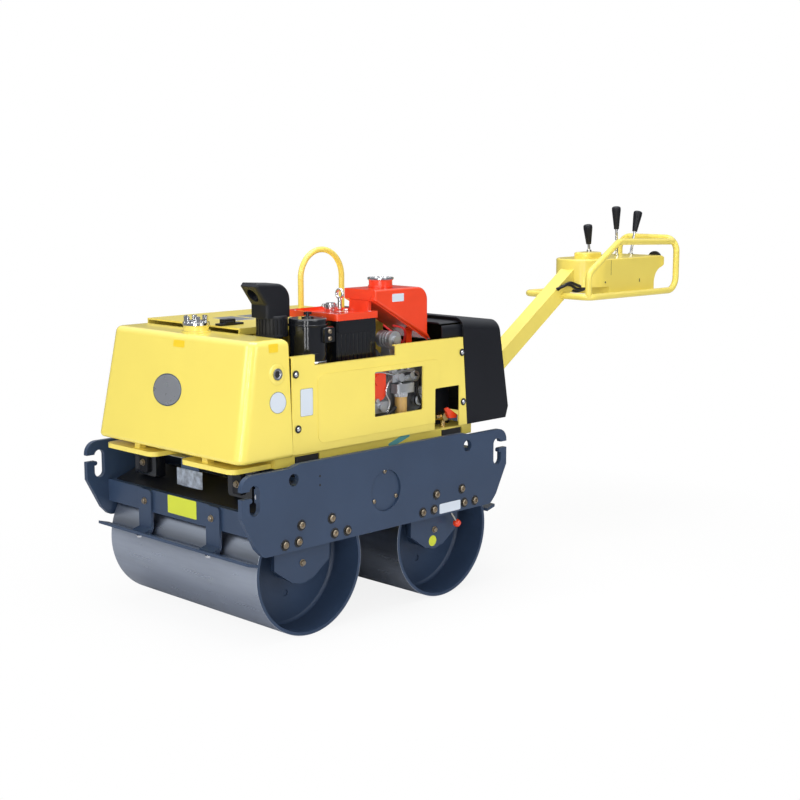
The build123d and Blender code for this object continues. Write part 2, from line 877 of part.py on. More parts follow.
with BuildPart() as injection_pump:
    pump_x = (pump_front + pump_rear) / 2
    with Locations((pump_x, engine_left + 10, (pump_bottom + pump_top) / 2)):
        Box(pump_front - pump_rear, 20, pump_top - pump_bottom)
    for x in (pump_front - 20, pump_x, pump_rear + 20):
        with Locations((x, engine_left + 10, (pump_top + engine_top) / 2)):
            Cylinder(8, engine_top - pump_top)
    with BuildSketch(wall_plane(engine_left + 34)):
        with Locations((pump_x + 22, pump_bottom + 15)):
            Circle(13)
        with Locations((pump_x - 24, pump_bottom + 18)):
            Circle(9)
    extrude(amount=16)
save(injection_pump.part, "injection_pump")

with BuildPart() as oil_pump:
    with BuildSketch(wall_plane(engine_left + 18)):
        with Locations((oil_pump_x, oil_pump_z)):
            RectangleRounded(66, 34, 8)
    extrude(amount=18)
    with BuildSketch(wall_plane(engine_left + 27)):
        with Locations((oil_pump_x, oil_pump_z)):
            Circle(13)
    extrude(amount=9)
save(oil_pump.part, "oil_pump")

with BuildPart() as flywheel:
    with BuildSketch(wall_plane(engine_right)):
        with Locations((crank_x, crank_z)):
            Circle(shaft_radius)
    extrude(amount=engine_right - flywheel_y)
    with BuildSketch(wall_plane(flywheel_y + flywheel_width / 2)):
        with Locations((crank_x, crank_z)):
            Circle(flywheel_radius)
    extrude(amount=flywheel_width)
    with BuildSketch(wall_plane(flywheel_y - flywheel_width / 2 + 10)):
        with Locations((crank_x, crank_z)):
            Circle(flywheel_radius - 24)
            Circle(shaft_radius + 16, mode=Mode.SUBTRACT)
    extrude(amount=10, mode=Mode.SUBTRACT)
save(flywheel.part, "flywheel")

with BuildPart() as start_pulley:
    with BuildSketch(wall_plane(engine_left + 24)):
        with Locations((pulley_x, pulley_z)):
            Circle(pulley_radius)
    extrude(amount=24)
    with BuildSketch(wall_plane(engine_left + 24)):
        with Locations((pulley_x, pulley_z)):
            Circle(pulley_radius - 3)
            Circle(pulley_radius / 2, mode=Mode.SUBTRACT)
    extrude(amount=6, mode=Mode.SUBTRACT)
save(start_pulley.part, "start_pulley")

# Radiator: a tall tank with upright ribs and a plain band under the lid
radiator_mid = (radiator_front + radiator_rear) / 2
radiator_length = radiator_front - radiator_rear
with BuildPart() as radiator:
    with Locations((radiator_mid, (radiator_left - radiator_rib + radiator_right) / 2, (engine_top + lid_bottom) / 2)):
        Box(radiator_length, radiator_left - radiator_rib - radiator_right, lid_bottom - engine_top)
    rib_pitch = radiator_length / radiator_ribs
    for i in range(radiator_ribs):
        x = radiator_rear + (i + 0.5) * rib_pitch
        with Locations((x, radiator_left - radiator_rib, (engine_top + lid_bottom - radiator_band) / 2)):
            Box(rib_pitch / 2, radiator_rib, lid_bottom - radiator_band - engine_top - 10)
    with BuildSketch(wall_plane(radiator_left)):
        with Locations((radiator_mid, lid_bottom - radiator_band / 2)):
            RectangleRounded(radiator_length - 8, radiator_band, 8)
    extrude(amount=radiator_rib + 1)
save(radiator.part, "radiator")

# Its lid: a rimmed tray with the bracket that carries the fuel tank's front edge
fuel_slope = (fuel_front_bottom - fuel_tip_bottom) / (fuel_front - fuel_tip)
lid_rear = radiator_rear - lid_overhang
with BuildPart() as radiator_lid:
    lid_y = (radiator_left + lid_overhang + lid_right) / 2
    with BuildSketch(Plane.XY.offset(lid_bottom)):
        with Locations((radiator_mid, lid_y)):
            RectangleRounded(
                radiator_length + 2 * lid_overhang, radiator_left + lid_overhang - lid_right, lid_corner
            )
    extrude(amount=lid_thickness)
    with BuildSketch(Plane.XY.offset(lid_floor)):
        with Locations((radiator_mid, lid_y)):
            RectangleRounded(
                radiator_length + 2 * lid_overhang - 2 * lid_rim,
                radiator_left + lid_overhang - lid_right - 2 * lid_rim,
                lid_corner - lid_rim / 2,
            )
    extrude(amount=lid_recess, mode=Mode.SUBTRACT)
    with BuildSketch(wall_plane(fuel_left - 30)):
        with BuildLine():
            Polyline(
                (lid_rear + 3, lid_floor),
                (fuel_front + 3, lid_floor),
                (fuel_front - 1, fuel_front_bottom - fuel_slope - bore_clearance),
                (lid_rear + 3, fuel_front_bottom + fuel_slope * (lid_rear + 3 - fuel_front) - bore_clearance),
                close=True,
            )
        make_face()
    extrude(amount=fuel_left - fuel_right - 50)
save(radiator_lid.part, "radiator_lid")

with BuildPart() as radiator_cap:
    with Locations((radiator_cap_x, radiator_cap_y, lid_floor + 9)):
        Cylinder(radiator_cap_radius - 6, 18)
    with BuildSketch(Plane.XY.offset(lid_floor + 18)):
        with Locations((radiator_cap_x, radiator_cap_y)):
            Circle(radiator_cap_radius)
            with PolarLocations(radiator_cap_radius + 3, 8):
                Circle(6, mode=Mode.SUBTRACT)
    extrude(amount=8)
    with Locations((radiator_cap_x, radiator_cap_y, lid_floor + 28)):
        Cylinder(radiator_cap_radius - 12, 4)
save(radiator_cap.part, "radiator_cap")

with BuildPart() as eyebolt:
    stem = eyebolt_height - eye_radius
    with Locations((eyebolt_x, eyebolt_y, lid_floor + stem / 2)):
        Cylinder(6, stem)
    with Locations((eyebolt_x, eyebolt_y, lid_floor + 4)):
        Cylinder(13, 8)
    with Locations(Location((eyebolt_x, eyebolt_y, lid_floor + eyebolt_height), (0, 90, 45))):
        Torus(eye_radius, eye_bar)
save(eyebolt.part, "eyebolt")

# Fuel tank: a wedge with a pressed seam flange, a neck and the strut that stands on the engine
with BuildPart() as fuel_tank:
    with BuildSketch(wall_plane(fuel_left)):
        with BuildLine():
            Polyline(
                (fuel_front, fuel_front_bottom),
                (fuel_front, fuel_top),
                (fuel_rear, fuel_top),
                (fuel_rear, fuel_rear_bottom),
                (fuel_tip, fuel_tip_bottom),
                close=True,
            )
        make_face()
    extrude(amount=fuel_left - fuel_right)
    rear_corner = fuel_tank.edges().filter_by(Axis.Y).sort_by_distance((fuel_rear, fuel_cap_y, fuel_top))[0]
    fillet(rear_corner, fuel_corner)
    fillet(fuel_tank.faces().sort_by(Axis.Y)[-1].edges(), fuel_edge)
    with BuildSketch(wall_plane(fuel_left - fuel_flange_set)):
        with BuildLine():
            Polyline(
                (fuel_front - 6, fuel_front_bottom - fuel_flange),
                (fuel_front + fuel_flange, fuel_front_bottom - 2),
                (fuel_front + fuel_flange, fuel_top - 20),
                (fuel_rear + 60, fuel_rear_bottom + 60),
                (fuel_rear - fuel_flange, fuel_rear_bottom + 60),
                (fuel_rear - fuel_flange, fuel_rear_bottom - 3),
                (fuel_tip + 2, fuel_tip_bottom - fuel_flange),
                close=True,
            )
        make_face()
    extrude(amount=3)
    with BuildSketch(wall_plane(strut_y)):
        with BuildLine():
            Polyline(
                (strut_rear, engine_top),
                (strut_front, engine_top),
                (strut_front, fuel_front_bottom + fuel_slope * (strut_front - fuel_front) + 4),
                (strut_rear, fuel_front_bottom + fuel_slope * (strut_rear - fuel_front) + 4),
                close=True,
            )
        make_face()
    extrude(amount=6)
    with Locations(((strut_front + strut_rear) / 2, strut_y, engine_top + 2)):
        Box(strut_front - strut_rear, 36, 4)
    with Locations((fuel_cap_x, fuel_cap_y, (fuel_top + fuel_neck_top) / 2 - 4)):
        Cylinder(fuel_neck_radius, fuel_neck_top - fuel_top + 8)
    with Locations((fuel_cap_x, fuel_cap_y, fuel_top + 5)):
        Cylinder(fuel_neck_radius + 2.5, 4)
save(fuel_tank.part, "fuel_tank")

with BuildPart() as fuel_cap:
    with Locations((fuel_cap_x, fuel_cap_y, fuel_neck_top + fuel_cap_height / 2)):
        Cylinder(fuel_cap_radius, fuel_cap_height)
    chamfer(fuel_cap.faces().sort_by(Axis.Z)[0].edges(), 3.5)
    with Locations((fuel_cap_x, fuel_cap_y, fuel_neck_top + fuel_cap_height - 1.5)):
        Cylinder(fuel_cap_radius - 5, 3, mode=Mode.SUBTRACT)
save(fuel_cap.part, "fuel_cap")

# Air cleaner: a banded canister with a lid and a wing nut, standing on the cylinder head
with BuildPart() as air_cleaner:
    with Locations((cleaner_x, cleaner_y, (engine_top + cleaner_seam) / 2)):
        Cylinder(cleaner_radius, cleaner_seam - engine_top)
    with Locations((cleaner_x, cleaner_y, engine_top + 58)):
        Cylinder(cleaner_radius + 1.5, 9)
    with Locations((cleaner_x, cleaner_y, (cleaner_seam + cleaner_top) / 2)):
        Cylinder(cleaner_radius + 1, cleaner_top - cleaner_seam)
    fillet(air_cleaner.faces().sort_by(Axis.Z)[-1].edges(), 5)
    with Locations((cleaner_x, cleaner_y, cleaner_top + 2)):
        Cylinder(18, 4)
    with Locations((cleaner_x, cleaner_y, cleaner_top + 9)):
        Cylinder(5, 18)
    with Locations((cleaner_x, cleaner_y, cleaner_top + 13)):
        Box(28, 4, 8)
save(air_cleaner.part, "air_cleaner")

# Pre-cleaner's hood: a curved snout whose slanting mouth faces forward
with BuildPart() as hood:
    with BuildSketch(wall_plane(precleaner_y + snorkel_half)):
        with BuildLine():
            Polyline(
                (snorkel_front, precleaner_top - 6),
                (snorkel_front, precleaner_top + 32),
                (snorkel_tip, snorkel_top - 10),
                (snorkel_tip - 8, snorkel_top),
                (snorkel_rear + 40, snorkel_top - 5),
            )
            ThreePointArc(
                (snorkel_rear + 40, snorkel_top - 5),
                (snorkel_rear + 12, snorkel_top - 21),
                (snorkel_rear, snorkel_top - 54),
            )
            Polyline(
                (snorkel_rear, snorkel_top - 54),
                (snorkel_rear, precleaner_top - 6),
                (snorkel_front, precleaner_top - 6),
            )
        make_face()
    extrude(amount=2 * snorkel_half)
    flanks = [
        e for e in hood.edges()
        if e.center().Z > precleaner_top and abs(abs(e.center().Y - precleaner_y) - snorkel_half) < 0.5
    ]
    fillet(flanks, hood_edge)
    slant = Vector(snorkel_tip - snorkel_front, 0, snorkel_top - 10 - precleaner_top - 32).normalized()
    mouth = Vector((snorkel_tip + snorkel_front) / 2, precleaner_y, (snorkel_top + precleaner_top + 22) / 2)
    with BuildSketch(Plane(origin=mouth, x_dir=slant, z_dir=Vector(slant.Z, 0, -slant.X))):
        Ellipse(22, 19)
    extrude(amount=-34, mode=Mode.SUBTRACT)

# Pre-cleaner: a pipe and a slotted bowl under the hood
with BuildPart() as pre_cleaner:
    with Locations((precleaner_x, precleaner_y, (precleaner_bottom + valve_cover_top) / 2)):
        Cylinder(precleaner_pipe, precleaner_bottom - valve_cover_top)
    with Locations((precleaner_x, precleaner_y, (precleaner_bottom + precleaner_top) / 2)):
        Cylinder(precleaner_radius, precleaner_top - precleaner_bottom)
    fillet(pre_cleaner.faces().sort_by(Axis.Z)[-1].edges(), 5)
    with BuildSketch(Plane.XY.offset(precleaner_bottom + 6)):
        with Locations((precleaner_x, precleaner_y)):
            with PolarLocations(precleaner_radius, precleaner_slots):
                Rectangle(6, 4)
    extrude(amount=precleaner_top - precleaner_bottom - 16, mode=Mode.SUBTRACT)
    add(hood.part)
save(pre_cleaner.part, "pre_cleaner")

# Fuel filter: a cast head with a knurled ring, and the clear bowl below it
ring_bottom = filter_head_bottom - filter_ring_height
with BuildPart() as fuel_filter:
    with Locations(
        (
            (filter_head_front + filter_head_rear) / 2,
            (engine_left + filter_y + 14) / 2,
            (filter_head_bottom + filter_head_top) / 2,
        )
    ):
        Box(filter_head_front - filter_head_rear, filter_y + 14 - engine_left, filter_head_top - filter_head_bottom)
    fillet(fuel_filter.edges().filter_by(Axis.Z), 7)
    with BuildSketch(Plane.XY.offset(ring_bottom)):
        with Locations((filter_x, filter_y + 1)):
            Circle(filter_ring_radius - 8)
            with PolarLocations(filter_ring_radius - 8, 14):
                Circle(3)
    extrude(amount=filter_ring_height + 4)
    with Locations((filter_x, filter_y, filter_head_top + 2)):
        Cylinder(9, 4)
save(fuel_filter.part, "fuel_filter")

with BuildPart() as filter_bowl:
    with Locations((filter_x, filter_y + 1, (bowl_bottom + ring_bottom) / 2)):
        Cylinder(bowl_radius, ring_bottom - bowl_bottom)
    fillet(filter_bowl.faces().sort_by(Axis.Z)[0].edges(), 6)
    with Locations((filter_x, filter_y + 1, bowl_bottom - 3)):
        Cylinder(7, 6)
save(filter_bowl.part, "filter_bowl")

# Alternator on its stand: a finned round casting with a nose
with BuildPart() as alternator:
    with BuildSketch(wall_plane(alternator_front)):
        with Locations((alternator_x, alternator_z)):
            Circle(alternator_radius)
    extrude(amount=alternator_length)
    for step in (12, 24, 36):
        with BuildSketch(wall_plane(alternator_front - step)):
            with Locations((alternator_x, alternator_z)):
                Circle(alternator_radius + 1)
                Circle(alternator_radius - 3, mode=Mode.SUBTRACT)
        extrude(amount=5, mode=Mode.SUBTRACT)
    with BuildSketch(wall_plane(alternator_front + 8)):
        with Locations((alternator_x, alternator_z)):
            Circle(alternator_radius / 2)
    extrude(amount=10)
    with Locations((alternator_x, alternator_front - alternator_length / 2, (engine_top + alternator_z) / 2 - 6)):
        Box(24, alternator_length - 20, alternator_z - engine_top - 12)
save(alternator.part, "alternator")

# Drain valve on the rail, and its handle
with BuildPart() as drain_valve:
    with Locations((valve_x, valve_y, (rail_top + valve_z) / 2)):
        Cylinder(8, valve_z - rail_top)
    with BuildSketch(wall_plane(valve_y + 14)):
        with Locations((valve_x, valve_z)):
            RegularPolygon(15, 6)
    extrude(amount=28)
    with BuildSketch(Plane(origin=(valve_x - 10, valve_y, valve_z), x_dir=(0, 1, 0), z_dir=(1, 0, 0))):
        Circle(9)
    extrude(amount=44)
save(drain_valve.part, "drain_valve")

with BuildPart() as valve_handle:
    with BuildSketch(wall_plane(valve_y + 20)):
        with BuildLine():
            Polyline(
                (valve_x + 10, valve_z + 26),
                (valve_x - 2, valve_z + 30),
                (valve_x - 46, valve_z + 2),
                (valve_x - 42, valve_z - 8),
                (valve_x - 10, valve_z - 6),
                close=True,
            )
        make_face()
    extrude(amount=6)
save(valve_handle.part, "valve_handle")

# Lifting hoop: a bent bar through the deck, welded to a beam that stands on the upper frame
leg_top = hoop_top - hoop_tube / 2 - hoop_half_span
with BuildPart() as hoop:
    with BuildLine() as hoop_path:
        Line((hoop_x - hoop_half_span, hoop_y, beam_top), (hoop_x - hoop_half_span, hoop_y, leg_top))
        ThreePointArc(
            (hoop_x - hoop_half_span, hoop_y, leg_top),
            (hoop_x, hoop_y, hoop_top - hoop_tube / 2),
            (hoop_x + hoop_half_span, hoop_y, leg_top),
        )
        Line((hoop_x + hoop_half_span, hoop_y, leg_top), (hoop_x + hoop_half_span, hoop_y, beam_top))
    with BuildSketch(Plane(origin=(hoop_x - hoop_half_span, hoop_y, beam_top), z_dir=(0, 0, 1))):
        Circle(hoop_tube / 2)
    sweep()
    with Locations(((beam_front + beam_rear) / 2, hoop_y, beam_top - beam_height / 2)):
        Box(beam_front - beam_rear, beam_width, beam_height)
    for x in (beam_front - beam_width / 2, beam_rear + beam_width / 2):
        with Locations((x, hoop_y, (rail_top + beam_top - beam_height) / 2)):
            Box(beam_width, beam_width, beam_top - beam_height - rail_top)
save(hoop.part, "lifting_hoop")

# Mast bracket: two cheeks standing out behind the lower frame
with BuildPart() as mast_bracket:
    for y in (
        mast_side / 2 + cheek_gap + cheek_thickness,
        -mast_side / 2 - cheek_gap,
    ):
        with BuildSketch(wall_plane(y)):
            with BuildLine():
                Polyline(
                    (-apron_face + apron_flange, apron_top),
                    (-apron_face, apron_top),
                    (mast_pivot_x - 34, mast_pivot_z - 30),
                    (mast_pivot_x - 34, mast_pivot_z + 26),
                    (mast_pivot_x + 60, mast_pivot_z + 29),
                    (-apron_face + apron_flange, rail_bottom - 1),
                    close=True,
                )
            make_face()
            with Locations((mast_pivot_x, mast_pivot_z)):
                Circle(pin_radius + bore_clearance, mode=Mode.SUBTRACT)
        extrude(amount=cheek_thickness)
    with Locations((-apron_face + apron_flange - 30, 0, (apron_top + rail_bottom) / 2)):
        Box(12, mast_side + 2 * cheek_gap + 2, rail_bottom - apron_top - 4)
save(mast_bracket.part, "mast_bracket")

# Mast
along = Vector(-cos(radians(mast_angle)), 0, sin(radians(mast_angle)))
mast_plane = Plane(origin=(mast_pivot_x, 0, mast_pivot_z), x_dir=(0, 1, 0), z_dir=along)
with BuildPart() as mast:
    with BuildSketch(mast_plane):
        Rectangle(mast_side, mast_side)
    extrude(amount=mast_length)
    with BuildSketch(Plane(origin=(mast_pivot_x, mast_side / 2 + cheek_gap + cheek_thickness + 4, mast_pivot_z),
                           x_dir=(1, 0, 0), z_dir=(0, -1, 0))):
        Circle(pin_radius)
    extrude(amount=mast_side + 2 * (cheek_gap + cheek_thickness + 4))
save(mast.part, "mast")

# Handle ring welded to the mast's sides, and its guard on the left
with BuildPart() as ring:
    with BuildLine() as ring_path:
        FilletPolyline(
            (ring_front, mast_side / 2, ring_low),
            (ring_front, ring_half_front, ring_low),
            (ring_rear, ring_half_rear, ring_low - 4),
            (ring_rear, ring_half_rear, ring_high),
            (ring_rear, -ring_half_rear, ring_high),
            (ring_rear, -ring_half_rear, ring_low - 4),
            (ring_front, -ring_half_front, ring_low),
            (ring_front, -mast_side / 2, ring_low),
            radius=[ring_front_corner, ring_corner, ring_corner, ring_corner, ring_corner, ring_front_corner],
        )
    with BuildSketch(Plane(origin=(ring_front, mast_side / 2, ring_low), z_dir=(0, 1, 0))):
        Circle(ring_tube / 2)
    sweep()
save(ring.part, "handle_ring")

with BuildPart() as guard:
    with BuildLine() as guard_path:
        FilletPolyline(
            (guard_foot, ring_half_front - 9, ring_low),
            (guard_foot, ring_half_front - 9, guard_knee),
            (guard_top_front, ring_half_front - 10, ring_high - 2),
            (ring_rear + 6, ring_half_rear - 13, ring_high - 14),
            radius=[40, 50],
        )
    with BuildSketch(Plane(origin=(guard_foot, ring_half_front - 9, ring_low), z_dir=(0, 0, 1))):
        Circle(ring_tube / 2)
    sweep()
    add(ring.part, mode=Mode.SUBTRACT)
save(guard.part, "handle_guard")

# Control console: a half-round front running into a body with a creased waist and a hollowed rear
with BuildPart() as console:
    with BuildSketch(wall_plane(console_half)):
        with BuildLine():
            Polyline(
                (console_rear, console_bottom + 34),
                (console_rear, console_bottom),
                (dome_x - 17, console_bottom),
                (dome_x - 17, dome_bottom),
                (dome_x, dome_bottom),
                (dome_x, console_top),
                (console_nose + 14, console_top),
                (console_nose, console_top - 8),
                (console_nose, console_top - 36),
                (console_nose + 16, console_top - 44),
            )
            ThreePointArc(
                (console_nose + 16, console_top - 44),
                (console_rear - 14, console_bottom + 72),
                (console_rear, console_bottom + 34),
            )
        make_face()
    extrude(amount=2 * console_half)
    with BuildSketch(Plane.XY.offset(dome_bottom)):
        with Locations((dome_x, 0)):
            Circle(console_half)
    extrude(amount=console_top - dome_bottom)
    with BuildSketch(Plane(origin=(dome_x - 17, 0, 0), x_dir=(0, 1, 0), z_dir=(-1, 0, 0))):
        with BuildLine():
            Polyline(
                (console_half + 1, console_crease),
                (console_foot_half, console_bottom - 1),
                (console_half + 1, console_bottom - 1),
                close=True,
            )
        make_face()
        mirror(about=Plane.YZ)
    extrude(amount=dome_x - console_nose, mode=Mode.SUBTRACT)
    fillet(console.faces().sort_by(Axis.Z)[-1].edges(), 6)
    with BuildSketch(mast_plane):
        Rectangle(mast_side, mast_side)
    extrude(amount=mast_length, mode=Mode.SUBTRACT)
save(console.part, "console")

with BuildPart() as console_lid:
    with BuildSketch(Plane.XY.offset(console_top)):
        with Locations((console_lid_x, 0)):
            RectangleRounded(console_lid_length, console_lid_width, 30)
    extrude(amount=lid_height)
    fillet(console_lid.faces().sort_by(Axis.Z)[-1].edges(), 6)
save(console_lid.part, "console_lid")

with BuildPart() as stop_button:
    with BuildSketch(Plane(origin=(console_nose, button_y, button_z), x_dir=(0, 1, 0), z_dir=(-1, 0, 0))):
        Circle(12)
    extrude(amount=8)
    with BuildSketch(Plane(origin=(console_nose - 4, button_y, button_z), x_dir=(0, 1, 0), z_dir=(-1, 0, 0))):
        Circle(button_radius)
    extrude(amount=14)
    fillet(stop_button.faces().sort_by(Axis.X)[0].edges(), 6)
save(stop_button.part, "stop_button")

# Levers: a plated rod in a collar, and a flared grip
with BuildPart() as lever_rods:
    for foot_x, seat, neck_x, neck_z, top_x, top_z in levers_set:
        foot = Vector(foot_x, 0, console_top + seat + lever_collar_height / 2)
        neck = Vector(neck_x, 0, neck_z)
        with Locations((foot_x, 0, console_top + seat + lever_collar_height / 2)):
            Cylinder(lever_collar, lever_collar_height)
        with BuildSketch(Plane(origin=foot, z_dir=neck - foot)):
            Circle(lever_rod)
        extrude(amount=(neck - foot).length)
save(lever_rods.part, "lever_rods")

with BuildPart() as levers:
    for foot_x, seat, neck_x, neck_z, top_x, top_z in levers_set:
        foot = Vector(foot_x, 0, console_top + seat + lever_collar_height / 2)
        neck = Vector(neck_x, 0, neck_z)
        rise = (neck - foot).normalized()
        length = top_z - neck_z
        with BuildSketch(Plane(origin=neck, z_dir=rise)):
            Circle(knob_neck)
        with BuildSketch(Plane(origin=neck + rise * (length - 8), z_dir=rise)):
            Circle(knob_top)
        loft()
        with BuildSketch(Plane(origin=neck + rise * (length - 8), z_dir=rise)):
            Circle(knob_top)
        extrude(amount=8)
save(levers.part, "control_levers")

brake_y = plate_inner - brake_offset
knob = Vector(brake_knob_x, brake_y, brake_knob_z)
rod_top = Vector(brake_root_x, brake_y, brake_root_z)
with BuildPart() as brake_lever:
    with BuildSketch(wall_plane(plate_inner)):
        with Locations((brake_root_x, brake_root_z)):
            Circle(brake_boss)
    extrude(amount=brake_offset + brake_boss)
    with BuildSketch(Plane(origin=rod_top, z_dir=knob - rod_top)):
        Circle(brake_rod)
    extrude(amount=(knob - rod_top).length)
    with Locations(Location(tuple(knob), (0, 0, 30))):
        Sphere(brake_ball)
save(brake_lever.part, "brake_lever")
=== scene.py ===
# %% [markdown]
# # A walk-behind double-drum roller with its hood off
# The engineering model already holds every frame, drum, tank and engine piece at its real size.
# This lesson gives those pieces their finishes and adds what is too small for that model: screws,
# blank plates, hoses and cables. We start by loading the model and keeping the size of its box.

# %% Load the model
import json

import bmesh
import bpy
import numpy as np
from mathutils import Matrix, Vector
from mathutils.bvhtree import BVHTree


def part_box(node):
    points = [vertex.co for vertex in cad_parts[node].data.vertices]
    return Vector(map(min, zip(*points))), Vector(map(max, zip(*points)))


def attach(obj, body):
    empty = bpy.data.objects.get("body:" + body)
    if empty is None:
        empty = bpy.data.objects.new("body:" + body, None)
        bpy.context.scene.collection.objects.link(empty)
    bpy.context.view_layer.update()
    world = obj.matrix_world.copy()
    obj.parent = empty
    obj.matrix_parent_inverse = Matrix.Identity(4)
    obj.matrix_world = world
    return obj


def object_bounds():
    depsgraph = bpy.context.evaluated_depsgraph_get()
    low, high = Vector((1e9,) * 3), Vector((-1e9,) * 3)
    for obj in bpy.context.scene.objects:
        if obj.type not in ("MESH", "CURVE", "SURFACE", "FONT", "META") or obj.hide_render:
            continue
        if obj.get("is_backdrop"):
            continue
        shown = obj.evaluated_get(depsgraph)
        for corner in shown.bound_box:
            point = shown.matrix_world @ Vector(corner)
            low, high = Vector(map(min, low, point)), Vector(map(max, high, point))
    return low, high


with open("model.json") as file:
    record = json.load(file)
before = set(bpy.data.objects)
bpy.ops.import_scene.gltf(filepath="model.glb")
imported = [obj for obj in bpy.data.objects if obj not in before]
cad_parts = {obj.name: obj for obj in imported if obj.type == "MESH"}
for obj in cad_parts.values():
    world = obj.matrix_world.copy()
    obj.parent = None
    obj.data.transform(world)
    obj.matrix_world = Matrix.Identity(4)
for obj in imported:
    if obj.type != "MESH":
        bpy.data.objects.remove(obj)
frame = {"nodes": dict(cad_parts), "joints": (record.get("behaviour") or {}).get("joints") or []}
model_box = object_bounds()
print("pieces in the model:", len(frame["nodes"]))

# %% [markdown]
# The photograph was measured in millimetres from the middle of the wheelbase, on the ground.
# The model's own origin lies further back, so we find the middle of the two drum axles and write
# every place as millimetres from there.

# %% From measured millimetres to the model's metres
axles = {joint["child"]: joint["pos_m"] for joint in frame["joints"]}
middle_x = (axles["front_roll"][0] + axles["rear_roll"][0]) / 2
axle_reach = (axles["front_roll"][0] - axles["rear_roll"][0]) / 2 * 1000
drum_radius = axles["front_roll"][2] * 1000


def at(x, y, z):
    """Measured millimetres to metres: divide by 1000 and add the middle of the wheelbase to x."""
    return np.array([x / 1000 + middle_x, y / 1000, z / 1000])


forward, backward = (1, 0, 0), (-1, 0, 0)
leftward, rightward = (0, 1, 0), (0, -1, 0)
upward, downward = (0, 0, 1), (0, 0, -1)
print("middle of the wheelbase at x =", round(middle_x, 4))

# %% [markdown]
# ## Surfaces from arrays
# Every new shape below is a grid of points: rows along one parameter, columns along the other.
# A turned shape closes its columns into rings, and rings that shrink to a point close a pole.
# Merging the doubled points afterwards leaves a clean closed skin with its faces outwards.


# %% Grid faces and mesh objects
def grid_faces(rows, columns):
    """Quads of a grid whose columns wrap: (r, c), (r, c+1), (r+1, c+1), (r+1, c)."""
    row, column = np.meshgrid(np.arange(rows - 1), np.arange(columns), indexing="ij")
    after = (column + 1) % columns
    quads = [row * columns + column, row * columns + after]
    quads += [(row + 1) * columns + after, (row + 1) * columns + column]
    return np.stack(quads, axis=-1).reshape(-1, 4)


def mesh_object(name, points, faces, material, body, slot, crease=0.6):
    """One closed object: points merged, faces outwards, edges sharp where they turn more than crease."""
    mesh = bpy.data.meshes.new(name)
    mesh.from_pydata(points.reshape(-1, 3).tolist(), [], faces.tolist())
    work = bmesh.new()
    work.from_mesh(mesh)
    bmesh.ops.remove_doubles(work, verts=work.verts, dist=2e-6)
    bmesh.ops.recalc_face_normals(work, faces=work.faces)
    for face in work.faces:
        face.smooth = True
    work.to_mesh(mesh)
    work.free()
    mesh.set_sharp_from_angle(angle=crease)
    mesh.materials.append(material)
    made = bpy.data.objects.new(name, mesh)
    bpy.context.scene.collection.objects.link(made)
    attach(made, body)
    return made


# %% Turned shapes and their copies
def turned(profile, sides=24, corners=0):
    """Radius and height pairs turned about z; with corners, a radius below 0 has a polygon's outline.

    A polygon's radius at angle a is R cos(w) / cos(a mod 2w - w), where w is half a side's angle.
    """
    rows = np.array(profile, float)
    angle = np.arange(sides) * 2 * np.pi / sides
    flat = np.ones(sides)
    if corners:
        half = np.pi / corners
        flat = np.cos(half) / np.cos(angle % (2 * half) - half)
    radius = np.where(rows[:, :1] < 0, -rows[:, :1] * flat, rows[:, :1] * np.ones(sides))
    points = np.stack([radius * np.cos(angle), radius * np.sin(angle)], axis=-1)
    height = np.broadcast_to(rows[:, 1:2, None], (*radius.shape, 1))
    return np.concatenate([points, height], axis=-1) / 1000, grid_faces(len(rows), sides)


def basis(direction):
    """Three rows: two across the direction and the direction itself."""
    up = np.array(direction, float) / np.linalg.norm(direction)
    helper = np.array([0.0, 0.0, 1.0]) if abs(up[2]) < 0.9 else np.array([1.0, 0.0, 0.0])
    across = np.cross(helper, up)
    across /= np.linalg.norm(across)
    return np.stack([across, np.cross(up, across), up])


def copies(shape, places):
    """One shape set at many (point, direction) places: p + v @ basis for each."""
    points, faces = shape
    flat = points.reshape(-1, 3)
    sets = [at(*point) + flat @ basis(direction) for point, direction in places]
    steps = np.arange(len(places))[:, None, None] * len(flat)
    return np.concatenate(sets), (faces[None] + steps).reshape(-1, faces.shape[1])


def joined(shapes):
    """Several (points, faces) pairs as one pair, each set of faces counted on from the last."""
    points, faces, start = [], [], 0
    for shape_points, shape_faces in shapes:
        flat = shape_points.reshape(-1, 3)
        points.append(flat)
        faces.append(shape_faces + start)
        start += len(flat)
    return np.concatenate(points), np.concatenate(faces)


# %% [markdown]
# A hose or a cable is a circle carried along a smooth path. The path passes through a few chosen
# points (a Catmull-Rom curve), and at each of its points the circle stands across the direction of
# travel.


# %% Tubes along a smooth path
def smooth_path(points, steps=10):
    """Catmull-Rom: each span is (2b + (c-a)t + (2a-5b+4c-d)t^2 + (3b-a-3c+d)t^3) / 2."""
    p = np.array([at(*point) for point in points])
    p = np.concatenate([2 * p[:1] - p[1:2], p, 2 * p[-1:] - p[-2:-1]])
    a, b, c, d = (p[i : len(p) - 3 + i, None] for i in range(4))
    t = (np.arange(steps) / steps)[None, :, None]
    spans = (2 * b + (c - a) * t + (2 * a - 5 * b + 4 * c - d) * t**2 + (3 * b - a - 3 * c + d) * t**3) / 2
    return np.concatenate([spans.reshape(-1, 3), p[-2:-1]])


